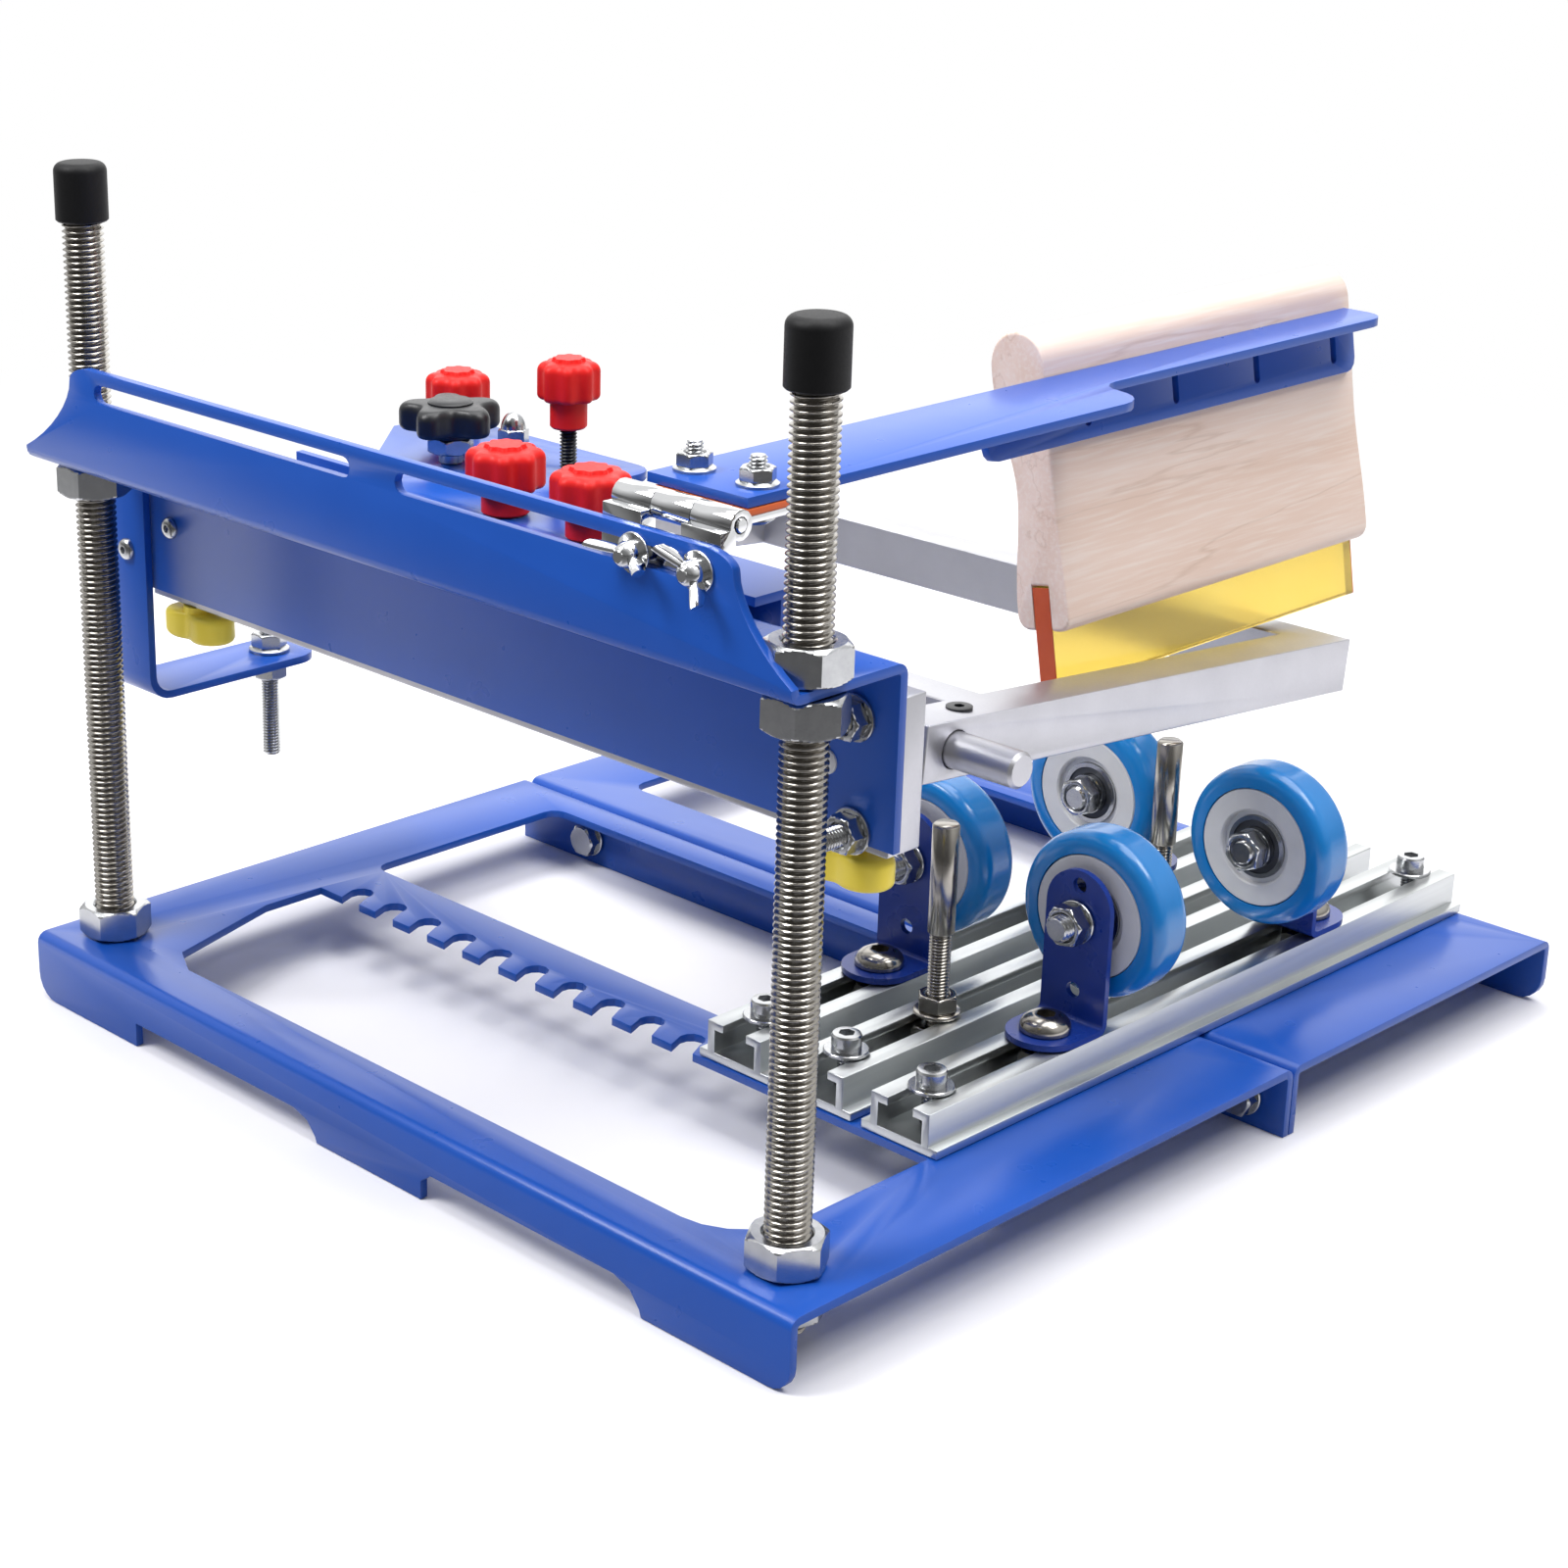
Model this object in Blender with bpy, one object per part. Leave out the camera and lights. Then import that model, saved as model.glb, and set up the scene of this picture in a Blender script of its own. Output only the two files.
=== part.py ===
"""Manual screen printing press for round goods: folded base, roller rails, bridge, tilting screen frame, squeegee.

Sizes are millimetres from the base's left, front and floor, turned to metres about the middle of the whole on the floor.
"""

import math

import bmesh
import bpy
import numpy as np

MM = 0.001
GAP = 0.3

# Base sheet
BASE_WIDTH = 318.0
BASE_HEIGHT = 21.0
SHEET = 2.5
FRONT_DEPTH = 206.4
REAR_DEPTH = 136.3
BEND_IN = 0.8
BORDER_LEFT = 30.0
BORDER_RIGHT = 33.0
BORDER_FRONT = 17.5
BORDER_BACK = 14.0
COMB_FRONT = 88.0
COMB_DEPTH = 24.0
NOTCH_PITCH = 16.5
NOTCH_COUNT = 10
NOTCH_R = 4.0
FLANGE_RELIEF = 7.5

# Posts and nuts
POST_R = 6.0
POST_Y = 18.5
POST_INSET_LEFT = 15.8
POST_INSET_RIGHT = 18.9
POST_FLOOR = 4.0
NUT_FLATS = 19.0
NUT_HEIGHT = 9.5
CAP_BASE = 240.8
CAP_BORE = 11.0
CAP_R = 7.6
CAP_HEIGHT = 16.7

# Bridge and guide bar
SHELF_TOP = 173.0
WALL_TALL = 29.3
WALL_TOP = SHELF_TOP + WALL_TALL
WEB_BACK = 46.0
WEB_BOTTOM = 125.0
BRIDGE_LEFT = 0.0
BRIDGE_RIGHT = BASE_WIDTH - 12.0
FLARE_LEFT = 24.0
FLARE_RIGHT = 19.0
FLARE_CORNER = 10.0
FLARE_CROWN = 4.5
SLOT_HEIGHT = 5.5
SLOT_DROP = 3.5
SLOT_SPANS = ((36.0, 150.0), (168.0, BRIDGE_RIGHT - 29.0))
GUIDE_LEFT = 4.0
GUIDE_RIGHT = BASE_WIDTH - 16.0
GUIDE_DEPTH = 11.7
GUIDE_BOTTOM = 122.0
GUIDE_TOP = 162.0
WING_X_LEFT = 22.0
WING_X_RIGHT = BASE_WIDTH - 32.0
WING_STUD_R = 2.5
WING_STUD_UP = 8.0
WING_SIDES = 20

# Stop bracket and its screw
STOP_LEFT = -16.0
STOP_WIDTH = 24.0
STOP_TOP = 163.0
STOP_TAB_TOP = 91.0
STOP_TAB_BACK = 109.0
STOP_SCREW_X = -4.0
STOP_SCREW_Y = 96.0
STOP_SCREW_R = 3.0
STOP_SCREW_LOW = 56.0
STOP_BEND = 8.0
STOP_NUT_R = 5.0
STOP_NUT_TALL = 6.0
STOP_SKIRT_R = 6.6
STOP_SKIRT = 1.2

# Carriage, shaft and screen frame
CARRIAGE_LEFT = 60.0
CARRIAGE_RIGHT = BASE_WIDTH - 63.5
CARRIAGE_FRONT = 48.0
CARRIAGE_NARROW = 71.0
CARRIAGE_WIDE = 118.0
CARRIAGE_STEP = 150.0
CARRIAGE_TOP = 176.5
CARRIAGE_CUT_X = 43.0
CARRIAGE_CUT_Y = 48.0
EAR_WIDTH = 3.0
SHAFT_R = 5.0
SHAFT_Y = 109.0
SHAFT_Z = 126.5
SHAFT_LEFT = 24.0
SHAFT_RIGHT = BASE_WIDTH - 26.0
EAR_R = 9.0
TUBE = 15.0
TUBE_TALL = 16.0
FRAME_LEFT = 30.0
FRAME_RIGHT = BASE_WIDTH - 48.0
FRAME_REACH = 182.0
FRAME_NOSE = 12.0
BLADE_CLEAR = 0.6
STUD_R = 2.5
KNOB_R = 10.0
STAR_R = 15.0

# Squeegee hinge, arm, handle and blade
HINGE_WIDTH = 39.0
HINGE_LEFT = BASE_WIDTH - 77.0
HINGE_RIGHT = HINGE_LEFT + HINGE_WIDTH
PIN_Y = 15.5
PIN_Z = WALL_TOP + 3.7
PIN_R = 1.8
KNUCKLE_R = 3.8
LEAF = 1.8
ARM_LEFT = BASE_WIDTH - 80.0
ARM_WIDTH = 34.0
ARM_STRIP = 16.0
ARM_FRONT = 26.0
ARM_STEP = 180.0
ARM_BACK = 320.0
PAD = 1.9
PAD_BACK = 46.0
HANDLE_TILT = 10.3
HANDLE_FRONT = 178.0
HANDLE_BACK = 324.0
FLANGE_FRONT = 149.0
FLANGE_BACK = 321.0
FLANGE_DROP = 19.0
FLANGE_CORNER = 4.0
FLANGE_SLOTS = (192.0, 232.0, 271.0, 310.0)
SLOT_R = 1.4
BULB_R = 9.3
BULB_DROP = -3.5
HANDLE_MEAN = 15.6
HANDLE_WAIST = 3.0
HANDLE_WAVE = 36.0
HANDLE_BELLY = 1.5
BELLY_DROP = 30.0
HANDLE_LOW = 71.0
BLADE_INSET = 4.5
BLADE = 5.7
BLADE_TOP = 58.5
BLADE_LOW = 88.6

# Rails, rollers and stop bolts
RAIL_PITCH = 30.5
RAIL_RIGHT = BASE_WIDTH - 43.8
RAIL_X = (RAIL_RIGHT - 2 * RAIL_PITCH, RAIL_RIGHT - RAIL_PITCH, RAIL_RIGHT)
RAIL_FRONT = COMB_FRONT + 0.5
RAIL_BACK = FRONT_DEPTH + GAP + REAR_DEPTH - 2.0
RAIL_SCREW_INSET = 10.0
RAIL_HALF = 13.3
RAIL_BODY = 10.2
RAIL_BORE = 7.7
RAIL_SLOT = 4.4
RAIL_HEIGHT = 12.0
RAIL_FLOOR = 2.5
RAIL_SCREW_FRONT = RAIL_FRONT + RAIL_SCREW_INSET + 2.5
RAIL_SCREW_BACK = RAIL_BACK - RAIL_SCREW_INSET
RAIL_SCREW_R = 2.5
WHEEL_R = 24.2
WHEEL_WIDTH = 16.0
WHEEL_Z = 65.0
CORE_R = 18.0
AXLE_R = 4.0
BRACKET_FRONT = 160.0
BRACKET_BACK = 263.0
BRACKET_WIDTH = 22.0
BRACKET_TOP = 80.0
FOOT_LENGTH = 22.0
FOOT_SCREW = 11.0
FOOT_SCREW_R = 3.9
STOP_BOLT_FRONT = 139.0
STOP_BOLT_BACK = 241.0
STOP_BOLT_TOP = 91.0
TEE_R = 7.0
LOCK_NUT_R = 6.9
LOCK_NUT_TALL = 6.4

# Derived places
BASE_DEPTH = FRONT_DEPTH + GAP + REAR_DEPTH
REAR_FRONT = FRONT_DEPTH + GAP
CENTRE = np.array([(STOP_LEFT + BASE_WIDTH) / 2, BASE_DEPTH / 2, 0.0])
PLATE_TOP = BASE_HEIGHT
PLATE_LOW = PLATE_TOP - SHEET
BEND_OUT = BEND_IN + SHEET
POST_X = (POST_INSET_LEFT, BASE_WIDTH - POST_INSET_RIGHT)
SHELF_LOW = SHELF_TOP - SHEET
WALL_FRONT = POST_Y - NUT_FLATS / 2 - 2 * GAP - SHEET
WALL_BACK = WALL_FRONT + SHEET
WEB_FRONT = WEB_BACK - SHEET
GUIDE_FRONT = WEB_BACK + GAP
GUIDE_BACK = GUIDE_FRONT + GUIDE_DEPTH
WING_Y = (GUIDE_FRONT + GUIDE_BACK) / 2 - 2.0
CARRIAGE_LOW = CARRIAGE_TOP - SHEET
RAIL_LOW = PLATE_TOP + GAP
RAIL_TOP = RAIL_LOW + RAIL_HEIGHT
FOOT_LOW = RAIL_TOP + GAP
FOOT_TOP = FOOT_LOW + SHEET
TEE_LOW = RAIL_LOW + RAIL_FLOOR + 1.2
TEE_TOP = RAIL_TOP - RAIL_FLOOR - GAP
LEAF_LOW = PIN_Z - KNUCKLE_R
PAD_LOW = LEAF_LOW + LEAF + GAP
ARM_LOW = PAD_LOW + PAD + GAP
ARM_TOP = ARM_LOW + SHEET
TILT = math.radians(HANDLE_TILT)
BLADE_TIP = ARM_TOP - BLADE_LOW * math.cos(TILT) - (2 * GAP + BLADE_INSET + BLADE) * math.sin(TILT)
FRAME_OPEN = FRAME_REACH - TUBE
# The screen frame droops from its shaft until the top of its far bar clears the blade's tip.
BAR_FALL = (SHAFT_Z - BLADE_TIP + BLADE_CLEAR) / math.hypot(FRAME_OPEN, TUBE_TALL / 2)
DROOP = math.asin(BAR_FALL) + math.atan2(TUBE_TALL / 2, FRAME_OPEN)


def material(name, colour, metallic, roughness):
    """A plain Principled material for one sub-part."""
    made = bpy.data.materials.new(name)
    made.use_nodes = True
    shader = made.node_tree.nodes["Principled BSDF"]
    shader.inputs["Base Color"].default_value = (*colour, 1.0)
    shader.inputs["Metallic"].default_value = metallic
    shader.inputs["Roughness"].default_value = roughness
    made.diffuse_color = (*colour, 1.0)
    return made


BLUE = ((0.02, 0.05, 0.45), 0.0, 0.3)
STEEL = ((0.6, 0.61, 0.63), 1.0, 0.28)
ALLOY = ((0.75, 0.76, 0.78), 1.0, 0.42)
RED = ((0.6, 0.02, 0.02), 0.0, 0.4)
BLACK = ((0.02, 0.02, 0.02), 0.0, 0.5)
YELLOW = ((0.85, 0.6, 0.02), 0.0, 0.45)
TYRE = ((0.02, 0.2, 0.7), 0.0, 0.4)
CORE = ((0.7, 0.72, 0.74), 0.0, 0.5)
WOOD = ((0.75, 0.55, 0.32), 0.0, 0.6)
BLADE_COLOUR = ((0.85, 0.7, 0.2), 0.0, 0.35)
ORANGE = ((0.85, 0.2, 0.03), 0.0, 0.6)


def body(name, loops, finish, pivot=None, ring=False):
    """One closed mesh lofted through equal loops of design points, with its origin at pivot."""
    loops = np.asarray(loops, float)
    count, sides = loops.shape[:2]
    origin = np.zeros(3) if pivot is None else (np.asarray(pivot, float) - CENTRE) * MM
    points = (loops.reshape(-1, 3) - CENTRE) * MM - origin
    faces = []
    for row in range(count if ring else count - 1):
        low = row * sides
        high = (row + 1) % count * sides
        for k in range(sides):
            after = (k + 1) % sides
            faces.append((low + k, low + after, high + after, high + k))
    if not ring:
        faces.append(tuple(range(sides)))
        faces.append(tuple((count - 1) * sides + k for k in range(sides)))
    mesh = bpy.data.meshes.new(name)
    mesh.from_pydata(points.tolist(), [], faces)
    work = bmesh.new()
    work.from_mesh(mesh)
    bmesh.ops.recalc_face_normals(work, faces=work.faces)
    work.to_mesh(mesh)
    work.free()
    mesh.materials.append(material(name, *finish))
    made = bpy.data.objects.new(name, mesh)
    made.location = origin
    bpy.context.scene.collection.objects.link(made)
    return made


def flat(points, axis, low, high):
    """Two loops that extrude a flat outline along an axis: z takes (x, y), y takes (x, z), x takes (y, z)."""
    points = np.asarray(points, float)
    loops = []
    for level in (low, high):
        column = np.full(len(points), level)
        if axis == "z":
            loops.append(np.column_stack([points, column]))
        elif axis == "y":
            loops.append(np.column_stack([points[:, 0], column, points[:, 1]]))
        else:
            loops.append(np.column_stack([column, points]))
    return loops


def arc(cx, cy, radius, start, end, count):
    """Points on an arc, angles in degrees."""
    turn = np.radians(np.linspace(start, end, count))
    return [(cx + radius * math.cos(a), cy + radius * math.sin(a)) for a in turn]


def disc(cx, cy, radius, sides):
    """A round outline."""
    return arc(cx, cy, radius, 0.0, 360.0 * (sides - 1) / sides, sides)


def box(x0, x1, y0, y1, z0, z1):
    """Loops of a plain block."""
    return flat([(x0, y0), (x1, y0), (x1, y1), (x0, y1)], "z", z0, z1)


def round_box(x0, x1, y0, y1, radius, count=4):
    """A rectangle's outline with rounded corners."""
    return (
        arc(x1 - radius, y0 + radius, radius, -90, 0, count)
        + arc(x1 - radius, y1 - radius, radius, 0, 90, count)
        + arc(x0 + radius, y1 - radius, radius, 90, 180, count)
        + arc(x0 + radius, y0 + radius, radius, 180, 270, count)
    )


def turned_z(cx, cy, profile, sides=20):
    """Loops of a piece turned about an upright axis; profile holds (radius, z)."""
    loops = []
    for radius, z in profile:
        loops.append([(x, y, z) for x, y in disc(cx, cy, radius, sides)])
    return loops


def turned_y(cx, cz, profile, sides=24):
    """Loops of a piece turned about an axis along Y; profile holds (radius, y)."""
    loops = []
    for radius, y in profile:
        loops.append([(x, y, z) for x, z in disc(cx, cz, radius, sides)])
    return loops


def turned_x(cy, cz, profile, sides=24):
    """Loops of a piece turned about an axis along X; profile holds (radius, x)."""
    loops = []
    for radius, x in profile:
        loops.append([(x, y, z) for y, z in disc(cy, cz, radius, sides)])
    return loops


def join_loops(name, parts):
    """One helper mesh holding several closed shapes that don't meet."""
    pieces = [body(f"{name}_{k}", loops, STEEL) for k, loops in enumerate(parts)]
    work = bmesh.new()
    for piece in pieces:
        work.from_mesh(piece.data)
        bpy.data.objects.remove(piece)
    mesh = bpy.data.meshes.new(name)
    work.to_mesh(mesh)
    work.free()
    made = bpy.data.objects.new(name, mesh)
    bpy.context.scene.collection.objects.link(made)
    return made


def combine(target, operation, parts):
    """Cuts shapes from a piece, or joins each shape to it."""
    groups = [parts] if operation == "DIFFERENCE" else [[loops] for loops in parts]
    for group in groups:
        helper = join_loops(f"{target.name}_{operation.lower()}", group)
        helper.hide_render = True
        helper.display_type = "WIRE"
        step = target.modifiers.new(operation.lower(), "BOOLEAN")
        step.operation = operation
        step.solver = "EXACT"
        step.object = helper
    return target


def channel(front, back, low, top):
    """Outline in (y, z) of a folded sheet: a plate with a flange down at each end."""
    return (
        [(front, low)]
        + arc(front + BEND_OUT, top - BEND_OUT, BEND_OUT, 180, 90, 5)
        + arc(back - BEND_OUT, top - BEND_OUT, BEND_OUT, 90, 0, 5)
        + [(back, low), (back - SHEET, low)]
        + arc(back - BEND_OUT, top - BEND_OUT, BEND_IN, 0, 90, 4)
        + arc(front + BEND_OUT, top - BEND_OUT, BEND_IN, 90, 180, 4)
        + [(front + SHEET, low)]
    )


def foot_corner(x, side, radius):
    """Cutter outline in (x, z) that rounds a flange's lower corner; side is -1 on the left and 1 on the right."""
    curve = [(x - side * (radius - radius * math.sin(a)), radius - radius * math.cos(a))
             for a in np.radians(np.linspace(0, 90, 6))]
    return [(x + side * 4, -4), (x - side * radius, -4)] + curve + [(x + side * 4, radius)]


def build_base():
    """The two folded base frames and the bolts through their back-to-back flanges."""
    comb_back = COMB_FRONT + COMB_DEPTH
    right = BASE_WIDTH - BORDER_RIGHT
    window = [(54.6, BORDER_FRONT)]
    window += arc(right - 22, BORDER_FRONT + 22, 22, -90, 0, 6)
    window += [(right, COMB_FRONT)]
    first = BORDER_LEFT + 14.0
    for k in reversed(range(NOTCH_COUNT)):
        x = first + k * NOTCH_PITCH
        window += [(x + 5.2, COMB_FRONT)]
        window += arc(x - 1.5, COMB_FRONT + 6.5, NOTCH_R, -10, 190, 7)
        window += [(x - 3.2, COMB_FRONT)]
    window += [(BORDER_LEFT, COMB_FRONT), (BORDER_LEFT, 66.0), (BORDER_LEFT + 12.5, 24.0)]
    reach = SHEET + 2.0
    relief_left = [(51, -4), (51, FLANGE_RELIEF), (127, FLANGE_RELIEF), (133, 5.6), (136.5, 1.6), (138.5, -4)]
    relief_right = [(182, -4), (182, 5.5), (186, 8.5), (257, 8.5), (263, 6.4), (266.5, 2), (268.5, -4)]
    bolts = (BORDER_LEFT + 4.0, BASE_WIDTH - 14.0)
    front = body("base_front_frame", flat(channel(0, FRONT_DEPTH, 0, PLATE_TOP), "x", 0, BASE_WIDTH), BLUE)
    cuts = [flat(window, "z", PLATE_LOW - 3, PLATE_TOP + 3)]
    back_edge = FRONT_DEPTH - BORDER_BACK
    cuts.append(flat(round_box(BORDER_LEFT - 2, right, comb_back, back_edge, 5), "z", PLATE_LOW - 3, PLATE_TOP + 3))
    for x in POST_X:
        cuts.append(flat(disc(x, POST_Y, POST_R + GAP, 20), "z", PLATE_LOW - 3, PLATE_TOP + 3))
    for x in RAIL_X:
        cuts.append(flat(disc(x, RAIL_SCREW_FRONT, RAIL_SCREW_R + GAP, 10), "z", PLATE_LOW - 3, PLATE_TOP + 3))
    for outline in (relief_left, relief_right, foot_corner(0, -1, 8.0), foot_corner(BASE_WIDTH, 1, 7.0)):
        cuts.append(flat(outline, "y", -2.0, reach))
    for x in bolts:
        cuts.append(flat(disc(x, 9.0, 3.0 + GAP, 10), "y", FRONT_DEPTH - reach, FRONT_DEPTH + 2.0))
    combine(front, "DIFFERENCE", cuts)
    profile = channel(REAR_FRONT, BASE_DEPTH, 0, PLATE_TOP)
    rear = body("base_rear_frame", flat(profile, "x", 0, BASE_WIDTH), BLUE)
    window = round_box(BORDER_LEFT, right + 2, REAR_FRONT + 20, BASE_DEPTH - 25, 6)
    cuts = [flat(window, "z", PLATE_LOW - 3, PLATE_TOP + 3)]
    for x in RAIL_X:
        cuts.append(flat(disc(x, RAIL_SCREW_BACK, RAIL_SCREW_R + GAP, 10), "z", PLATE_LOW - 3, PLATE_TOP + 3))
    for outline in (foot_corner(0, -1, 8.0), foot_corner(BASE_WIDTH, 1, 8.0)):
        cuts.append(flat(outline, "y", BASE_DEPTH - reach, BASE_DEPTH + 2.0))
    for x in bolts:
        cuts.append(flat(disc(x, 9.0, 3.0 + GAP, 10), "y", REAR_FRONT - 2.0, REAR_FRONT + reach))
    combine(rear, "DIFFERENCE", cuts)
    inner = FRONT_DEPTH - SHEET - GAP
    outer = REAR_FRONT + SHEET + GAP
    for label, x in zip(("left", "right"), bolts):
        profile = [(4.2, inner - 5), (5.4, inner - 4), (5.4, inner), (3.0, inner), (3.0, outer)]
        profile += [(5.4, outer), (5.4, outer + 5)]
        body(f"joint_bolt_{label}", turned_y(x, 9.0, profile, 10), STEEL)


def hexagon(cx, cy, flats, per_side):
    """A hexagon's outline with flats facing along Y, sampled so that it pairs with a round bore."""
    turn = np.arange(6 * per_side) * 2 * math.pi / (6 * per_side)
    fold = (turn + math.pi / 3) % (math.pi / 3) - math.pi / 6
    reach = flats / 2 / np.cos(fold)
    return [(cx + r * math.cos(a), cy + r * math.sin(a)) for r, a in zip(reach, turn)]


def nut(name, cx, cy, low):
    """A hexagon nut with a clear bore round a post."""
    outer = hexagon(cx, cy, NUT_FLATS, 3)
    inner = disc(cx, cy, POST_R + GAP, 18)
    high = low + NUT_HEIGHT
    loops = [
        [(x, y, low) for x, y in outer],
        [(x, y, high) for x, y in outer],
        [(x, y, high) for x, y in inner],
        [(x, y, low) for x, y in inner],
    ]
    return body(name, loops, STEEL, ring=True)


def build_posts():
    """Posts, caps, and the nuts that hold the base and the bridge."""
    top = CAP_BASE + CAP_BORE
    cap_top = CAP_BASE + CAP_HEIGHT
    for label, x in zip(("left", "right"), POST_X):
        profile = [(POST_R - 1, POST_FLOOR), (POST_R, POST_FLOOR + 1), (POST_R, top - 1), (POST_R - 1, top)]
        body(f"post_{label}", turned_z(x, POST_Y, profile, 20), STEEL)
        nut(f"base_nut_upper_{label}", x, POST_Y, PLATE_TOP + GAP)
        nut(f"base_nut_lower_{label}", x, POST_Y, PLATE_LOW - GAP - NUT_HEIGHT)
        nut(f"bridge_nut_upper_{label}", x, POST_Y, SHELF_TOP + GAP)
        nut(f"bridge_nut_lower_{label}", x, POST_Y, SHELF_LOW - GAP - NUT_HEIGHT)
        bore = POST_R + GAP
        cup = [(bore, top + GAP), (bore, CAP_BASE), (CAP_R, CAP_BASE), (CAP_R, cap_top - 3.4)]
        cup += [(CAP_R - 0.9, cap_top - 1.4), (CAP_R - 2.6, cap_top - 0.4), (CAP_R - 4.6, cap_top)]
        body(f"post_cap_{label}", turned_z(x, POST_Y, cup, 16), BLACK)


def build_bridge():
    """The folded bridge with its slotted, flared front wall."""
    y0 = WALL_FRONT
    outline = [(y0, WALL_TOP), (WALL_BACK, WALL_TOP)]
    outline += arc(WALL_BACK + BEND_IN, SHELF_TOP + BEND_IN, BEND_IN, 180, 270, 4)
    outline += arc(WEB_BACK - BEND_OUT, SHELF_TOP - BEND_OUT, BEND_OUT, 90, 0, 5)
    outline += [(WEB_BACK, WEB_BOTTOM), (WEB_FRONT, WEB_BOTTOM)]
    outline += arc(WEB_FRONT - BEND_IN, SHELF_LOW - BEND_IN, BEND_IN, 0, 90, 4)
    outline += arc(y0 + BEND_OUT, SHELF_LOW + BEND_OUT, BEND_OUT, 270, 180, 5)
    bridge = body("bridge_beam", flat(outline, "x", BRIDGE_LEFT, BRIDGE_RIGHT), BLUE)
    tip = SHELF_TOP + 1.5
    tall = WALL_TOP - tip
    cuts = []
    for end, side, flare in ((BRIDGE_LEFT, -1, FLARE_LEFT), (BRIDGE_RIGHT, 1, FLARE_RIGHT)):
        turns = np.radians(np.linspace(0, 90, 9))
        crown = [(end - side * (flare + FLARE_CORNER * (1 - math.sin(t))), WALL_TOP - FLARE_CROWN * (1 - math.cos(t)))
                 for t in turns]
        drop = tall - FLARE_CROWN
        sweep = [(end - side * flare * math.cos(t), tip + drop - drop * (1 - math.cos(t) + math.sin(t)) / 2)
                 for t in turns[1:]]
        crown[0] = (crown[0][0], WALL_TOP + 3)
        bow = crown + sweep
        cuts.append(flat(bow + [(end + side * 3, tip), (end + side * 3, WALL_TOP + 3)], "y", y0 - 3, WALL_BACK + 0.6))
    high = WALL_TOP - SLOT_DROP
    low = high - SLOT_HEIGHT
    for x0, x1 in SLOT_SPANS:
        cuts.append(flat(round_box(x0, x1, low, high, SLOT_HEIGHT * 0.48), "y", y0 - 3, WALL_BACK + 3))
    for x in POST_X:
        cuts.append(flat(disc(x, POST_Y, POST_R + GAP, 24), "z", SHELF_LOW - 3, SHELF_TOP + 3))
    combine(bridge, "DIFFERENCE", cuts)
    guide = body(
        "guide_rail",
        box(GUIDE_LEFT, GUIDE_RIGHT, GUIDE_FRONT, GUIDE_BACK, GUIDE_BOTTOM, GUIDE_TOP),
        ALLOY,
    )
    cuts = []
    for x in (WING_X_LEFT, WING_X_RIGHT):
        hole = disc(x, WING_Y, WING_STUD_R + GAP, 14)
        cuts.append(flat(hole, "z", GUIDE_BOTTOM - 3, GUIDE_BOTTOM + WING_STUD_UP + 2))
    combine(guide, "DIFFERENCE", cuts)


def wing(name, cx):
    """A two-lobed knob with its stud up into the guide bar."""
    turn = np.arange(WING_SIDES) * 2 * math.pi / WING_SIDES
    high = GUIDE_BOTTOM - GAP
    loops = []
    for z, grow in ((high - 12.0, 0.82), (high - 11.0, 0.95), (high - 3.5, 1.0), (high - 2.0, 0.9)):
        radius = grow * (5.2 + 8.3 * np.abs(np.cos(turn)) ** 2.2)
        loops.append(np.column_stack([cx + radius * np.cos(turn), WING_Y + radius * np.sin(turn), np.full(WING_SIDES, z)]))
    for radius, z in ((5.0, high - 1.9), (5.0, high), (WING_STUD_R, high), (WING_STUD_R, high + WING_STUD_UP)):
        loops.append(np.array([(x, y, z) for x, y in disc(cx, WING_Y, radius, WING_SIDES)]))
    return body(name, loops, YELLOW, pivot=(cx, WING_Y, high))


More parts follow.
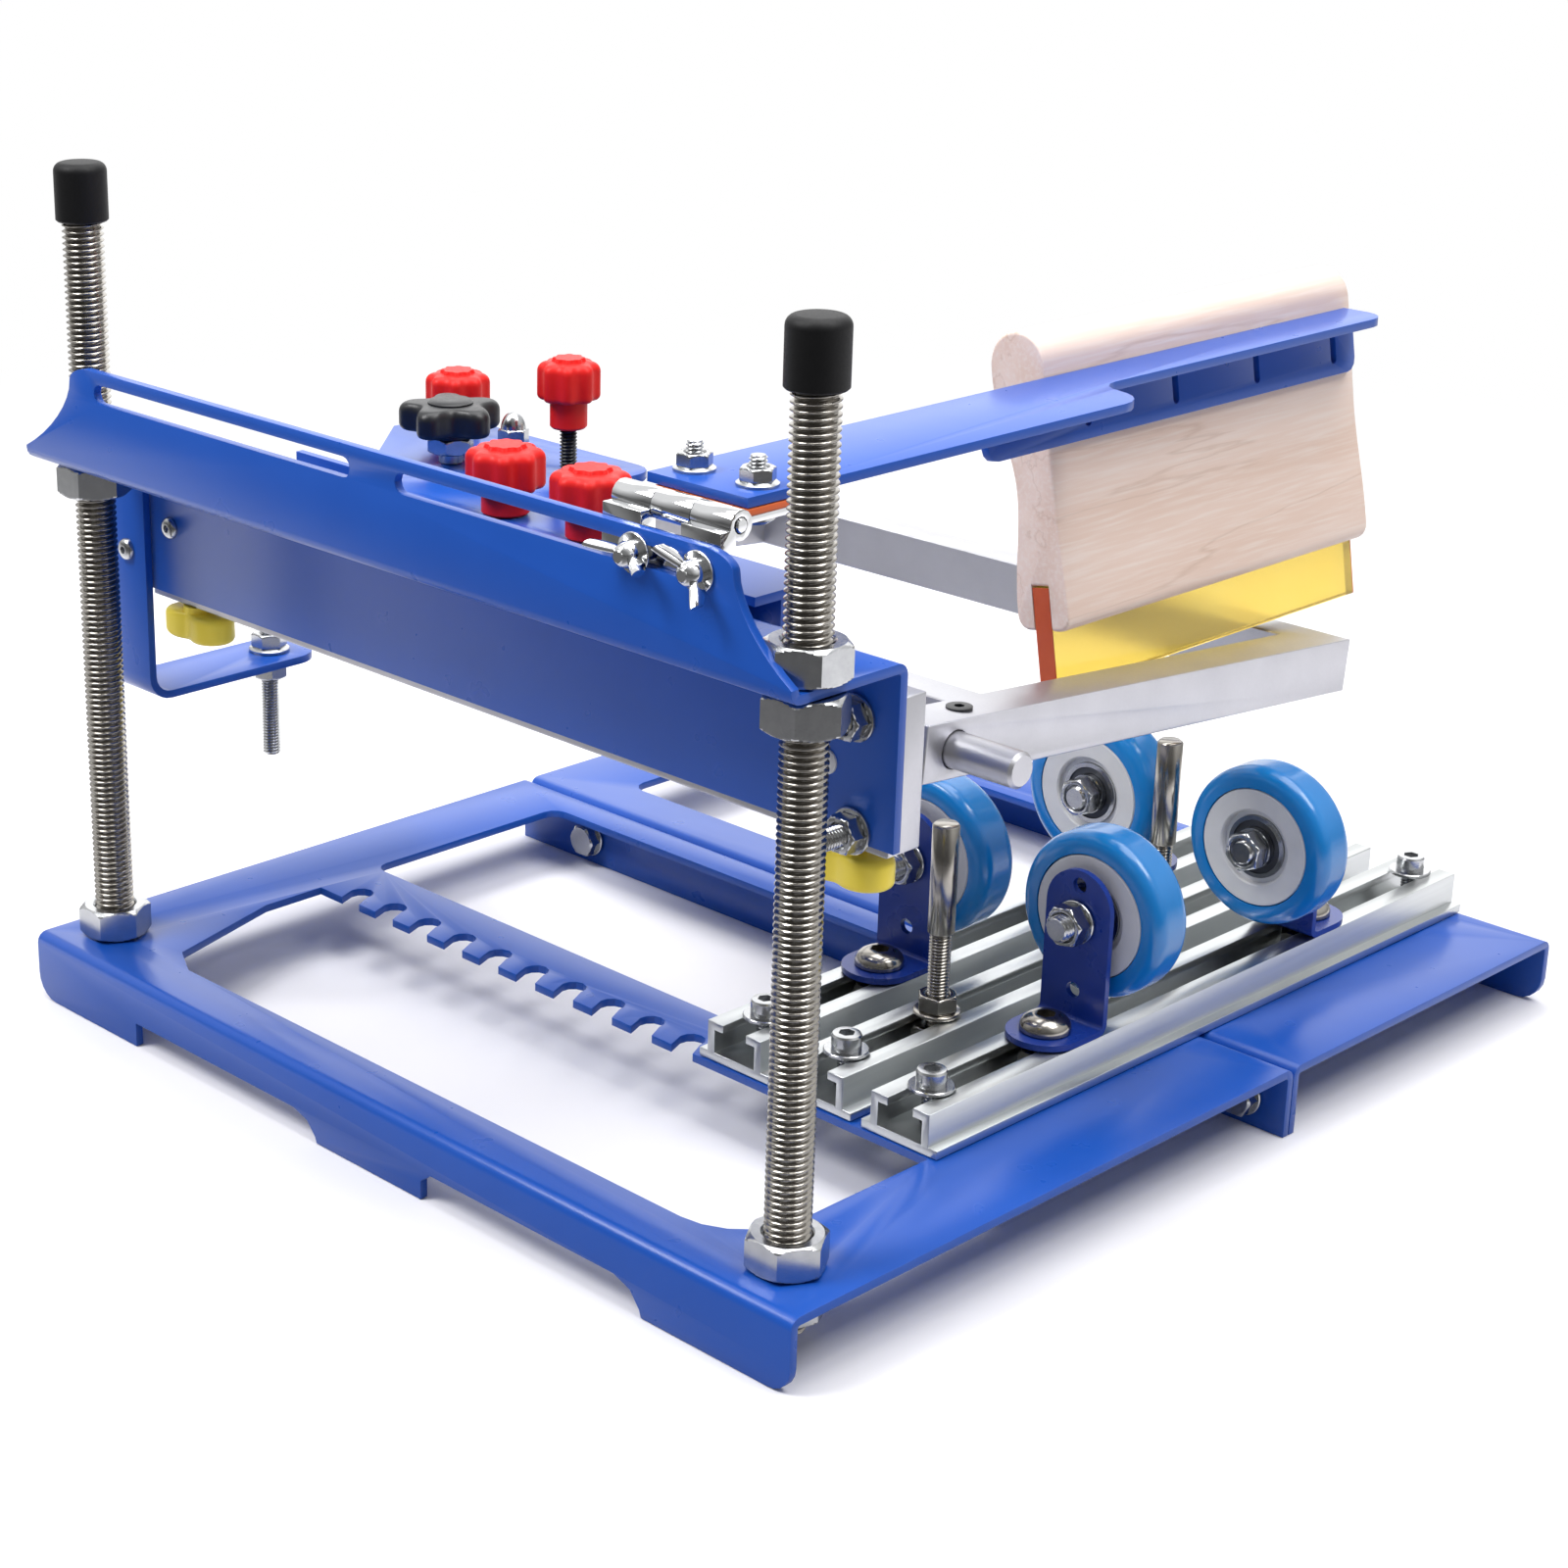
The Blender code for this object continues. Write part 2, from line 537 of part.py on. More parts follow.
def build_stop():
    """The stop bracket in front of the web, its screw, and the wing knobs."""
    front = WEB_FRONT - GAP - SHEET
    back = front + SHEET
    low = STOP_TAB_TOP - SHEET
    outline = [(front, STOP_TOP)]
    outline += arc(front + STOP_BEND, low + STOP_BEND, STOP_BEND, 180, 270, 7)
    outline += [(STOP_TAB_BACK, low), (STOP_TAB_BACK, STOP_TAB_TOP)]
    outline += arc(front + STOP_BEND, low + STOP_BEND, STOP_BEND - SHEET, 270, 180, 6)
    outline += [(back, STOP_TOP)]
    bracket = body("stop_bracket", flat(outline, "x", STOP_LEFT, STOP_LEFT + STOP_WIDTH), BLUE)
    right = STOP_LEFT + STOP_WIDTH
    corner = STOP_WIDTH * 0.4
    cuts = [flat(disc(STOP_SCREW_X, STOP_SCREW_Y, STOP_SCREW_R + GAP, 16), "z", low - 3, STOP_TAB_TOP + 3)]
    for x, side in ((STOP_LEFT, -1), (right, 1)):
        turn = np.radians(np.linspace(0, 90, 7))
        curve = [(x - side * corner * (1 - math.cos(a)), STOP_TAB_BACK - corner * (1 - math.sin(a))) for a in turn]
        outer = [(x - side * corner, STOP_TAB_BACK + 4), (x + side * 4, STOP_TAB_BACK + 4)]
        cuts.append(flat(curve + outer + [(x + side * 4, STOP_TAB_BACK - corner)], "z", low - 3, STOP_TAB_TOP + 3))
    combine(bracket, "DIFFERENCE", cuts)
    r = STOP_SCREW_R
    under = low - GAP
    over = STOP_TAB_TOP + GAP
    lower = under - STOP_NUT_TALL
    upper = over + STOP_NUT_TALL
    profile = [(r - 0.7, STOP_SCREW_LOW), (r, STOP_SCREW_LOW + 0.8), (r, lower), (STOP_NUT_R, lower)]
    profile += [(STOP_NUT_R, under - STOP_SKIRT - 0.3), (STOP_SKIRT_R, under - STOP_SKIRT), (STOP_SKIRT_R, under)]
    profile += [(r, under), (r, over), (STOP_SKIRT_R, over), (STOP_SKIRT_R, over + STOP_SKIRT)]
    profile += [(STOP_NUT_R, over + STOP_SKIRT + 0.3), (STOP_NUT_R, upper), (r, upper), (r, upper + 4)]
    loops = turned_z(STOP_SCREW_X, STOP_SCREW_Y, profile, 12)
    body("stop_screw", loops, STEEL, pivot=(STOP_SCREW_X, STOP_SCREW_Y, STOP_TAB_TOP))
    wing("wing_knob_left", WING_X_LEFT)
    wing("wing_knob_right", WING_X_RIGHT)


KNOBS = {
    "knob_red_a": (80.0, 104.0, 7.0),
    "knob_red_b": (133.0, 99.0, 20.0),
    "knob_red_c": (156.0, 54.5, 7.0),
    "knob_red_d": (189.0, 54.5, 7.0),
    "knob_black": (103.0, 80.0, 9.0),
}


def lobed(cx, cy, z, radius, lobes, depth, sides):
    """One loop of a lobed grip."""
    turn = np.arange(sides) * 2 * math.pi / sides
    reach = radius * (1 - depth / 2 + depth / 2 * np.cos(lobes * turn))
    return np.column_stack([cx + reach * np.cos(turn), cy + reach * np.sin(turn), np.full(sides, z)])


def build_knobs():
    """Clamp knobs standing on the carriage, each with a stud down through its plate."""
    for name, (x, y, rise) in KNOBS.items():
        black = name == "knob_black"
        sides = 25 if black else 24
        foot = CARRIAGE_TOP + GAP
        neck = foot + rise
        reach = STAR_R if black else KNOB_R
        lobes, depth = (5, 0.34) if black else (8, 0.13)
        tall = 9.0 if black else 12.0
        slim = 4.5 if (black or rise > 10) else 7.0
        loops = []
        for radius, z in ((STUD_R, CARRIAGE_LOW - 7), (STUD_R, foot), (slim, foot), (slim, neck)):
            loops.append(lobed(x, y, z, radius, 1, 0.0, sides))
        for grow, z in ((0.88, neck), (1.0, neck + 1.6), (1.0, neck + tall - 2.2), (0.8, neck + tall)):
            loops.append(lobed(x, y, z, reach * grow, lobes, depth, sides))
        body(name, loops, BLACK if black else RED, pivot=(x, y, foot))


def build_carriage():
    """The carriage on the guide bar, the pivot shaft, and the screen frame with its arms on the shaft."""
    plan = [(CARRIAGE_LEFT, CARRIAGE_FRONT + CARRIAGE_CUT_Y), (CARRIAGE_LEFT + CARRIAGE_CUT_X, CARRIAGE_FRONT)]
    plan += [(CARRIAGE_RIGHT, CARRIAGE_FRONT), (CARRIAGE_RIGHT, CARRIAGE_NARROW)]
    plan += arc(CARRIAGE_STEP + 8, CARRIAGE_NARROW + 8, 8, 270, 180, 5)
    plan += arc(CARRIAGE_STEP - 8, CARRIAGE_WIDE - 8, 8, 0, 90, 5)
    plan += arc(CARRIAGE_LEFT + 8, CARRIAGE_WIDE - 8, 8, 90, 180, 5)
    carriage = body("carriage", flat(plan, "z", CARRIAGE_LOW, CARRIAGE_TOP), BLUE)
    leg = GUIDE_BACK + GAP
    joins = [box(CARRIAGE_LEFT + 0.8, CARRIAGE_RIGHT - 0.8, leg, leg + SHEET, WEB_BOTTOM, CARRIAGE_LOW + 1.2)]
    for x in (CARRIAGE_LEFT + CARRIAGE_CUT_X + 4, CARRIAGE_RIGHT - 42):
        shoe = GUIDE_TOP + GAP
        joins.append(box(x, x + 30, GUIDE_FRONT + 2.4, GUIDE_BACK - 3.0, shoe, CARRIAGE_LOW + 1.1))
    for x in (CARRIAGE_LEFT + 1.6, CARRIAGE_RIGHT - 1.6 - EAR_WIDTH):
        ear = [(leg + 1.0, SHAFT_Z - EAR_R)] + arc(SHAFT_Y, SHAFT_Z, EAR_R, -90, 90, 9)
        ear += [(leg + 1.0, SHAFT_Z + EAR_R + 22)]
        joins.append(flat(ear, "x", x, x + EAR_WIDTH))
    combine(carriage, "UNION", joins)
    cuts = [flat(disc(SHAFT_Y, SHAFT_Z, SHAFT_R + GAP, 18), "x", CARRIAGE_LEFT - 3, CARRIAGE_RIGHT + 3)]
    for x, y, _ in KNOBS.values():
        cuts.append(flat(disc(x, y, STUD_R + GAP, 10), "z", CARRIAGE_LOW - 3, CARRIAGE_TOP + 3))
    combine(carriage, "DIFFERENCE", cuts)
    r = SHAFT_R
    ends = [(r - 0.8, SHAFT_LEFT), (r, SHAFT_LEFT + 0.8), (r, SHAFT_RIGHT - 0.8), (r - 0.8, SHAFT_RIGHT)]
    body("pivot_shaft", turned_x(SHAFT_Y, SHAFT_Z, ends, 18), STEEL)
    bar = FRAME_NOSE + TUBE
    inner_left = FRAME_LEFT + TUBE
    inner_right = FRAME_RIGHT - TUBE
    plan = [(FRAME_LEFT, -FRAME_NOSE), (inner_left, -FRAME_NOSE), (inner_left, FRAME_NOSE)]
    plan += [(inner_right, FRAME_NOSE), (inner_right, -FRAME_NOSE), (FRAME_RIGHT, -FRAME_NOSE)]
    plan += [(FRAME_RIGHT, FRAME_REACH), (FRAME_LEFT, FRAME_REACH)]
    window = [(inner_left, bar), (inner_right, bar), (inner_right, FRAME_OPEN), (inner_left, FRAME_OPEN)]
    frame = body("screen_frame", tilted(plan, -TUBE_TALL / 2, TUBE_TALL / 2), ALLOY, pivot=(0, SHAFT_Y, SHAFT_Z))
    cuts = [tilted(window, -TUBE_TALL, TUBE_TALL)]
    cuts.append(flat(disc(SHAFT_Y, SHAFT_Z, SHAFT_R + GAP, 18), "x", FRAME_LEFT - 3, FRAME_RIGHT + 3))
    combine(frame, "DIFFERENCE", cuts)


def tilted(plan, low, high):
    """Extrudes an outline drawn from the shaft axis along the drooping screen frame."""
    loops = []
    for level in (low, high):
        loop = []
        for x, reach in plan:
            y = SHAFT_Y + reach * math.cos(DROOP) + level * math.sin(DROOP)
            z = SHAFT_Z - reach * math.sin(DROOP) + level * math.cos(DROOP)
            loop.append((x, y, z))
        loops.append(loop)
    return loops


def leaning(profile, front, back):
    """Extrudes a (side, drop) outline along Y; side runs left from the arm's flange and drop runs down it."""
    loops = []
    for y in (front, back):
        loop = []
        for side, drop in profile:
            x = ARM_LEFT + drop * math.sin(TILT) - side * math.cos(TILT)
            z = ARM_TOP - drop * math.cos(TILT) - side * math.sin(TILT)
            loop.append((x, y, z))
        loops.append(loop)
    return loops


def pressed(outline, inner, outer):
    """Extrudes a (y, drop) outline drawn on the arm's leaning flange from one side distance to another."""
    loops = []
    for side in (inner, outer):
        loop = []
        for y, drop in outline:
            x = ARM_LEFT + drop * math.sin(TILT) - side * math.cos(TILT)
            z = ARM_TOP - drop * math.cos(TILT) - side * math.sin(TILT)
            loop.append((x, y, z))
        loops.append(loop)
    return loops


def build_squeegee():
    """The hinge on the front wall, the swinging arm, its pad, and the wood handle with its blade."""
    third = (HINGE_RIGHT - HINGE_LEFT) / 3
    left_end = HINGE_LEFT + third - GAP / 2
    right_start = HINGE_RIGHT - third + GAP / 2
    leaf_front = WALL_BACK + GAP
    leaf = body(
        "hinge_leaf",
        box(HINGE_LEFT, HINGE_RIGHT, leaf_front, leaf_front + LEAF, SHELF_TOP + 6, PIN_Z - KNUCKLE_R - 0.5),
        STEEL,
    )
    joins = []
    for x0, x1 in ((HINGE_LEFT, left_end), (right_start, HINGE_RIGHT)):
        lip = PIN_Z - KNUCKLE_R - 2.5
        joins.append(box(x0, x1, leaf_front + 0.2, PIN_Y - 1.5, lip, PIN_Z - 0.8))
        joins.append(turned_x(PIN_Y, PIN_Z, [(KNUCKLE_R, x0), (KNUCKLE_R, x1)], 14))
    combine(leaf, "UNION", joins)
    bore = flat(disc(PIN_Y, PIN_Z, PIN_R + GAP, 12), "x", HINGE_LEFT - 3, HINGE_RIGHT + 3)
    combine(leaf, "DIFFERENCE", [bore])
    pivot = (0, PIN_Y, PIN_Z)
    plan = [(HINGE_LEFT, PIN_Y + KNUCKLE_R + 0.8), (left_end + GAP, PIN_Y + KNUCKLE_R + 0.8), (left_end + GAP, PIN_Y)]
    plan += [(right_start - GAP, PIN_Y), (right_start - GAP, PIN_Y + KNUCKLE_R + 0.8)]
    leaf_right = ARM_LEFT + ARM_WIDTH - 1
    plan += [(leaf_right, PIN_Y + KNUCKLE_R + 0.8), (leaf_right, PAD_BACK + 4), (HINGE_LEFT, PAD_BACK + 4)]
    moving = body("hinge_leaf_moving", flat(plan, "z", LEAF_LOW, LEAF_LOW + LEAF), STEEL, pivot=pivot)
    knuckle = [(KNUCKLE_R, left_end + GAP), (KNUCKLE_R, right_start - GAP)]
    combine(moving, "UNION", [turned_x(PIN_Y, PIN_Z, knuckle, 14)])
    combine(moving, "DIFFERENCE", [bore])
    ends = [(PIN_R, HINGE_LEFT - 0.6), (PIN_R, HINGE_RIGHT + 0.6)]
    body("hinge_pin", turned_x(PIN_Y, PIN_Z, ends, 12), STEEL)
    right = ARM_LEFT + ARM_WIDTH
    strip = ARM_LEFT + ARM_STRIP
    body("arm_pad", box(HINGE_LEFT, right, ARM_FRONT - 2, PAD_BACK, PAD_LOW, PAD_LOW + PAD), ORANGE, pivot=pivot)
    edge = ARM_LEFT + (SHEET + GAP) * math.tan(TILT)
    plan = [(edge, ARM_FRONT), (right, ARM_FRONT)]
    plan += arc(right - 11, ARM_STEP - 11, 11, 0, 90, 6)
    plan += arc(strip + 8, ARM_STEP + 8, 8, 270, 180, 5)
    plan += arc(strip - 7.5, ARM_BACK - 7.5, 7.5, 0, 90, 5)
    plan += [(edge, ARM_BACK)]
    arm = body("squeegee_arm", flat(plan, "z", ARM_LOW, ARM_TOP), BLUE, pivot=pivot)
    r = FLANGE_CORNER
    flange = [(FLANGE_FRONT, 0.6), (FLANGE_BACK, 0.6)]
    flange += arc(FLANGE_BACK - r, FLANGE_DROP - r, r, 0, 90, 4)
    flange += arc(FLANGE_FRONT + r, FLANGE_DROP - r, r, 90, 180, 4)
    combine(arm, "UNION", [pressed(flange, -SHEET, 0.0)])
    cuts = []
    for y in FLANGE_SLOTS:
        slot = arc(y, 5.6 + SLOT_R, SLOT_R, 180, 360, 7) + arc(y, 15.6 - SLOT_R, SLOT_R, 0, 180, 7)
        cuts.append(pressed(slot, -SHEET - 3, 3))
    cuts.append(pressed(disc(FLANGE_FRONT + 8.5, FLANGE_DROP * 0.56, 1.9, 14), -SHEET - 3, 3))
    combine(arm, "DIFFERENCE", cuts)
    # The back swells under the bulb, waists and swells again as a fading cosine of the drop; the front bellies low down.
    section = arc(GAP + BULB_R, BULB_DROP, BULB_R, 180, 360, 11)
    for drop in np.linspace(0.0, HANDLE_LOW - 8.0, 12):
        fade = HANDLE_WAIST * (1 - drop / 110)
        section.append((GAP + HANDLE_MEAN + fade * math.cos(math.pi * drop / HANDLE_WAVE), drop))
    section += arc(section[-1][0] - 3.5, HANDLE_LOW - 3.5, 3.5, 0, 90, 4)
    slot_left = GAP + BLADE_INSET + BLADE + 2 * GAP
    section += [(slot_left, HANDLE_LOW), (slot_left, BLADE_TOP - GAP)]
    section += [(GAP + BLADE_INSET, BLADE_TOP - GAP), (GAP + BLADE_INSET, HANDLE_LOW)]
    section += arc(GAP - HANDLE_BELLY + 4.0, HANDLE_LOW - 4.0, 4.0, 90, 180, 4)
    for drop in np.linspace(HANDLE_LOW - 6.0, BELLY_DROP, 7):
        swell = math.cos(math.pi * (drop - BELLY_DROP) / (HANDLE_LOW - 6.0 - BELLY_DROP))
        section.append((GAP - HANDLE_BELLY * (1 - swell) / 2, drop))
    body("squeegee_handle", leaning(section, HANDLE_FRONT, HANDLE_BACK), WOOD, pivot=pivot)
    side = GAP + BLADE_INSET + GAP
    strip = [(side, BLADE_TOP), (side + BLADE, BLADE_TOP), (side + BLADE, BLADE_LOW), (side, BLADE_LOW)]
    body("squeegee_blade", leaning(strip, HANDLE_FRONT, HANDLE_BACK), BLADE_COLOUR, pivot=pivot)


def build_rails():
    """Three slotted rails across the base, their screws, and the stop bolts in the middle one."""
    low, high = RAIL_LOW, RAIL_TOP
    floor = low + RAIL_FLOOR
    lip = high - RAIL_FLOOR
    half = [(RAIL_HALF, low), (RAIL_HALF, floor), (RAIL_BODY, floor), (RAIL_BODY, high), (RAIL_SLOT, high)]
    half += [(RAIL_SLOT, lip), (RAIL_BORE, lip), (RAIL_BORE, floor)]
    section = half + [(-x, z) for x, z in reversed(half)]
    nut_top = PLATE_LOW - GAP
    for label, x in zip(("left", "center", "right"), RAIL_X):
        rail = body(f"rail_{label}", flat([(x + a, z) for a, z in section], "y", RAIL_FRONT, RAIL_BACK), ALLOY)
        cuts = []
        for y in (RAIL_SCREW_FRONT, RAIL_SCREW_BACK):
            cuts.append(flat(disc(x, y, RAIL_SCREW_R + GAP, 10), "z", low - 2, floor + 2))
        combine(rail, "DIFFERENCE", cuts)
        for place, y in (("front", RAIL_SCREW_FRONT), ("rear", RAIL_SCREW_BACK)):
            r = RAIL_SCREW_R
            washer = high + GAP
            profile = [(4.6, nut_top - 5), (4.6, nut_top), (r, nut_top)]
            profile += [(r, washer), (6.4, washer), (6.4, washer + 1.3), (4.3, washer + 1.3)]
            profile += [(4.3, washer + 5.2), (3.7, washer + 5.8)]
            body(f"rail_screw_{place}_{label}", turned_z(x, y, profile, 10), STEEL)
    for label, y in (("front", STOP_BOLT_FRONT), ("rear", STOP_BOLT_BACK)):
        x = RAIL_X[1]
        r = FOOT_SCREW_R
        nut_low = high + GAP
        nut_high = nut_low + LOCK_NUT_TALL
        profile = [(TEE_R, TEE_LOW), (TEE_R, TEE_TOP), (r, TEE_TOP), (r, nut_low), (LOCK_NUT_R, nut_low)]
        profile += [(LOCK_NUT_R, nut_high), (r, nut_high), (r, STOP_BOLT_TOP - 0.8), (r - 0.8, STOP_BOLT_TOP)]
        body(f"stop_bolt_{label}", turned_z(x, y, profile, 14), STEEL, pivot=(x, y, nut_low))


def roller(tag, x, face, way):
    """One roller unit: face is the bracket's outer Y, and way is 1 where the wheel stands behind it, -1 in front."""
    half = BRACKET_WIDTH / 2
    outline = [(x - half, FOOT_LOW), (x + half, FOOT_LOW)]
    outline += arc(x, BRACKET_TOP - half, half, 0, 180, 11)
    near = face + way * SHEET
    upright = flat(outline, "y", min(face, near), max(face, near))
    bracket = body(f"roller_bracket_{tag}", upright, BLUE, pivot=(x, face, FOOT_LOW))
    tip = face - way * FOOT_LENGTH
    plan = [(x - half, near), (x - half, tip + way * 8), (x - half + 6, tip), (x + half - 6, tip)]
    plan += [(x + half, tip + way * 8), (x + half, near)]
    foot = flat(plan, "z", FOOT_LOW, FOOT_TOP)
    r = FOOT_SCREW_R
    tee = [(TEE_R, TEE_LOW), (TEE_R, TEE_TOP), (r, TEE_TOP), (r, FOOT_LOW + 0.6), (7.2, FOOT_LOW + 0.9)]
    tee += [(7.2, FOOT_TOP + 1.6), (6.0, FOOT_TOP + 3.6), (3.6, FOOT_TOP + 4.6)]
    screw = turned_z(x, face - way * FOOT_SCREW, tee, 12)
    core = near + way * 2.0
    far = core + way * WHEEL_WIDTH
    axle = [(AXLE_R, face - way * 9.5), (AXLE_R, face - way * 6.5), (6.6, face - way * 6.5), (6.6, core - way * GAP)]
    axle += [(AXLE_R, core - way * GAP), (AXLE_R, far + way * GAP), (6.6, far + way * GAP), (6.0, far + way * 6.0)]
    combine(bracket, "UNION", [foot, screw, turned_y(x, WHEEL_Z, axle, 12)])
    holes = [flat(disc(x, z, 2.2, 10), "y", face - way * 3, near + way * 3) for z in (WHEEL_Z + 10.6, WHEEL_Z - 20.6)]
    combine(bracket, "DIFFERENCE", holes)
    bore = AXLE_R + GAP
    rim = CORE_R
    dish = [(bore, core), (9.0, core), (10.4, core + way * 1.8), (11.5, core + way * 0.6), (rim, core + way * 0.6)]
    dish += [(rim, far - way * 0.6), (11.5, far - way * 0.6), (10.4, far - way * 1.8), (9.0, far), (bore, far)]
    body(f"roller_core_{tag}", turned_y(x, WHEEL_Z, dish, 18), CORE, pivot=(x, core, WHEEL_Z), ring=True)
    inner = CORE_R + GAP
    edge = 1.6
    tread = [(inner, core + way * 0.6), (WHEEL_R - edge, core + way * 0.6), (WHEEL_R, core + way * (0.6 + edge))]
    tread += [(WHEEL_R, far - way * (0.6 + edge)), (WHEEL_R - edge, far - way * 0.6), (inner, far - way * 0.6)]
    body(f"roller_tyre_{tag}", turned_y(x, WHEEL_Z, tread, 32), TYRE, pivot=(x, core, WHEEL_Z), ring=True)


def main():
    """Clears the scene and builds every piece at rest."""
    for old in list(bpy.data.objects):
        bpy.data.objects.remove(old)
    build_base()
    build_posts()
    build_bridge()
    build_stop()
    build_carriage()
    build_knobs()
    build_squeegee()
    build_rails()
    roller("front_left", RAIL_X[0], BRACKET_FRONT, 1)
    roller("front_right", RAIL_X[2], BRACKET_FRONT, 1)
    roller("rear_left", RAIL_X[0], BRACKET_BACK, -1)
    roller("rear_right", RAIL_X[2], BRACKET_BACK, -1)


if __name__ == "__main__":
    main()
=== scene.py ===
"""Looks of a bench press for screen printing round goods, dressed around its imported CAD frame.

Lengths are millimetres in the frame's own axes and become metres when a mesh is made.
"""

from __future__ import annotations

import logging
import math
from dataclasses import dataclass, field
from enum import Enum
from typing import Sequence

import bmesh
import bpy
import numpy as np
from mathutils import Euler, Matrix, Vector

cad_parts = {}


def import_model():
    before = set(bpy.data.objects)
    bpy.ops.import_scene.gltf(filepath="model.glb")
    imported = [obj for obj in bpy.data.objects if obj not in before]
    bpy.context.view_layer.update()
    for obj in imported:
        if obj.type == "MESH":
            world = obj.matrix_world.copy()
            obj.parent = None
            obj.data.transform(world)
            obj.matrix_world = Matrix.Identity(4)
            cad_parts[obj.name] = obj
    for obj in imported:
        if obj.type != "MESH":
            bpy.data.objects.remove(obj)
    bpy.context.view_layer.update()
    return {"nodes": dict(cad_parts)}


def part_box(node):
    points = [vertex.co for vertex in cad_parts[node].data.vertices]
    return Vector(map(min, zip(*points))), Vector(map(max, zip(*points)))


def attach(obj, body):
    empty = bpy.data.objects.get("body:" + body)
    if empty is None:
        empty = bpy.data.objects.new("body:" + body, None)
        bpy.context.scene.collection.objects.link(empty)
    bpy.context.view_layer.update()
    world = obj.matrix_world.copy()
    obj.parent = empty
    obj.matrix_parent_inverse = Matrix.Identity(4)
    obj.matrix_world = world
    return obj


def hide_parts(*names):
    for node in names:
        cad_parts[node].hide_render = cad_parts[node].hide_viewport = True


LOG = logging.getLogger("press")
MM = 0.001
# The clear space that the CAD leaves between two pieces, and the thickness of the sheet and of a rail's lips.
GAP = 0.3
SHEET = 2.5
LIP = 2.5
# How a CAD copy is cleaned and rounded: points nearer than MERGE_MM are merged, faces that meet within
# FLAT_DEG are joined, and edges sharper than SHARP_DEG are rounded.
MERGE_MM = 0.002
FLAT_DEG = 0.6
SHARP_DEG = 40.0
# Points round a hexagon, twelve to a side.
HEX_SIDES = 72
# Toward the unlit front of the room, which only reflections see.
ROOM_FRONT = (0.3, -0.954, 0.0)
Profile = Sequence[tuple[float, float]]
Triple = tuple[float, float, float]
Tree = bpy.types.NodeTree
Socket = bpy.types.NodeSocket


class Way(Enum):
    """Directions in the frame that a turned piece can point."""

    UP = (0.0, 0.0, 1.0)
    DOWN = (0.0, 0.0, -1.0)
    RIGHT = (1.0, 0.0, 0.0)
    REAR = (0.0, 1.0, 0.0)
    FRONT = (0.0, -1.0, 0.0)


@dataclass
class Shell:
    """Points, four-sided faces and end caps of one or more closed surfaces, in millimetres."""

    points: np.ndarray
    quads: np.ndarray
    caps: list[np.ndarray]

    @staticmethod
    def grid(points: np.ndarray, closed: bool = False) -> Shell:
        """A tube over rows of points whose columns run round it.

        Args:
            points: Array of rows, columns and three coordinates.
            closed: True joins the last row to the first, and False caps both ends.

        Returns:
            The closed surface.
        """
        rows, columns = points.shape[:2]
        row = np.arange(rows if closed else rows - 1)[:, None]
        ring = np.arange(columns)
        after = (ring + 1) % columns
        here = row * columns
        above = (row + 1) % rows * columns
        corners = (here + ring, here + after, above + after, above + ring)
        caps = [] if closed else [ring[::-1], ring + (rows - 1) * columns]
        return Shell(points.reshape(-1, 3), np.stack(corners, -1).reshape(-1, 4), caps)

    @staticmethod
    def joined(parts: Sequence[Shell]) -> Shell:
        """Several shells held as one, with each one's faces counted on from the points before it.

        Args:
            parts: The shells.

        Returns:
            One shell.
        """
        starts = np.cumsum([0] + [len(part.points) for part in parts[:-1]])
        return Shell(
            np.concatenate([part.points for part in parts]),
            np.concatenate([part.quads + start for part, start in zip(parts, starts)]),
            [cap + start for part, start in zip(parts, starts) for cap in part.caps],
        )

    def placed(self, at: Sequence[float], way: Way = Way.UP, turn: float = 0.0) -> Shell:
        """The shell turned about its own Z, with Z laid along a direction and its foot moved to a place.

        Args:
            at: Where the local origin goes.
            way: Where the local Z axis points.
            turn: Degrees about the local Z axis, before it is laid over.

        Returns:
            A new shell.
        """
        lay = Vector(Way.UP.value).rotation_difference(Vector(way.value)).to_matrix()
        spin = Euler((0.0, 0.0, math.radians(turn))).to_matrix()
        matrix = np.array(lay @ spin)
        return Shell(self.points @ matrix.T + np.asarray(at, float), self.quads, self.caps)

    def mesh(self, name: str) -> bpy.types.Mesh:
        """A mesh of the shell in metres.

        Args:
            name: The mesh's name.

        Returns:
            The mesh.
        """
        made = bpy.data.meshes.new(name)
        faces = self.quads.tolist() + [cap.tolist() for cap in self.caps]
        made.from_pydata((self.points * MM).tolist(), [], faces)
        return made


def linear(code: str) -> tuple[float, float, float, float]:
    """A hex colour as the linear colour that shaders take.

    Args:
        code: Six hex digits after a hash.

    Returns:
        Red, green, blue and an alpha of one.
    """
    parts = [int(code[k:k + 2], 16) / 255 for k in (1, 3, 5)]
    red, green, blue = (p / 12.92 if p <= 0.04045 else ((p + 0.055) / 1.055) ** 2.4 for p in parts)
    return red, green, blue, 1.0


def add_node(tree: Tree, kind: str, settings: dict | None = None, **links: object) -> bpy.types.Node:
    """Adds a node with its settings, values and links.

    Args:
        tree: The material's or world's nodes.
        kind: The node's type name, without the words that all of them start with.
        settings: Attributes of the node itself.
        links: Input names with spaces as underscores, or i and a number. A socket is linked, and any other
            value is set.

    Returns:
        The new node.
    """
    node = tree.nodes.new(f"ShaderNode{kind}")
    for name, value in (settings or {}).items():
        setattr(node, name, value)
    for name, value in links.items():
        key = int(name[1:]) if name[0] == "i" and name[1:].isdigit() else name.replace("_", " ")
        socket = node.inputs[key]
        if isinstance(value, Socket):
            tree.links.new(value, socket)
        else:
            socket.default_value = value
    return node


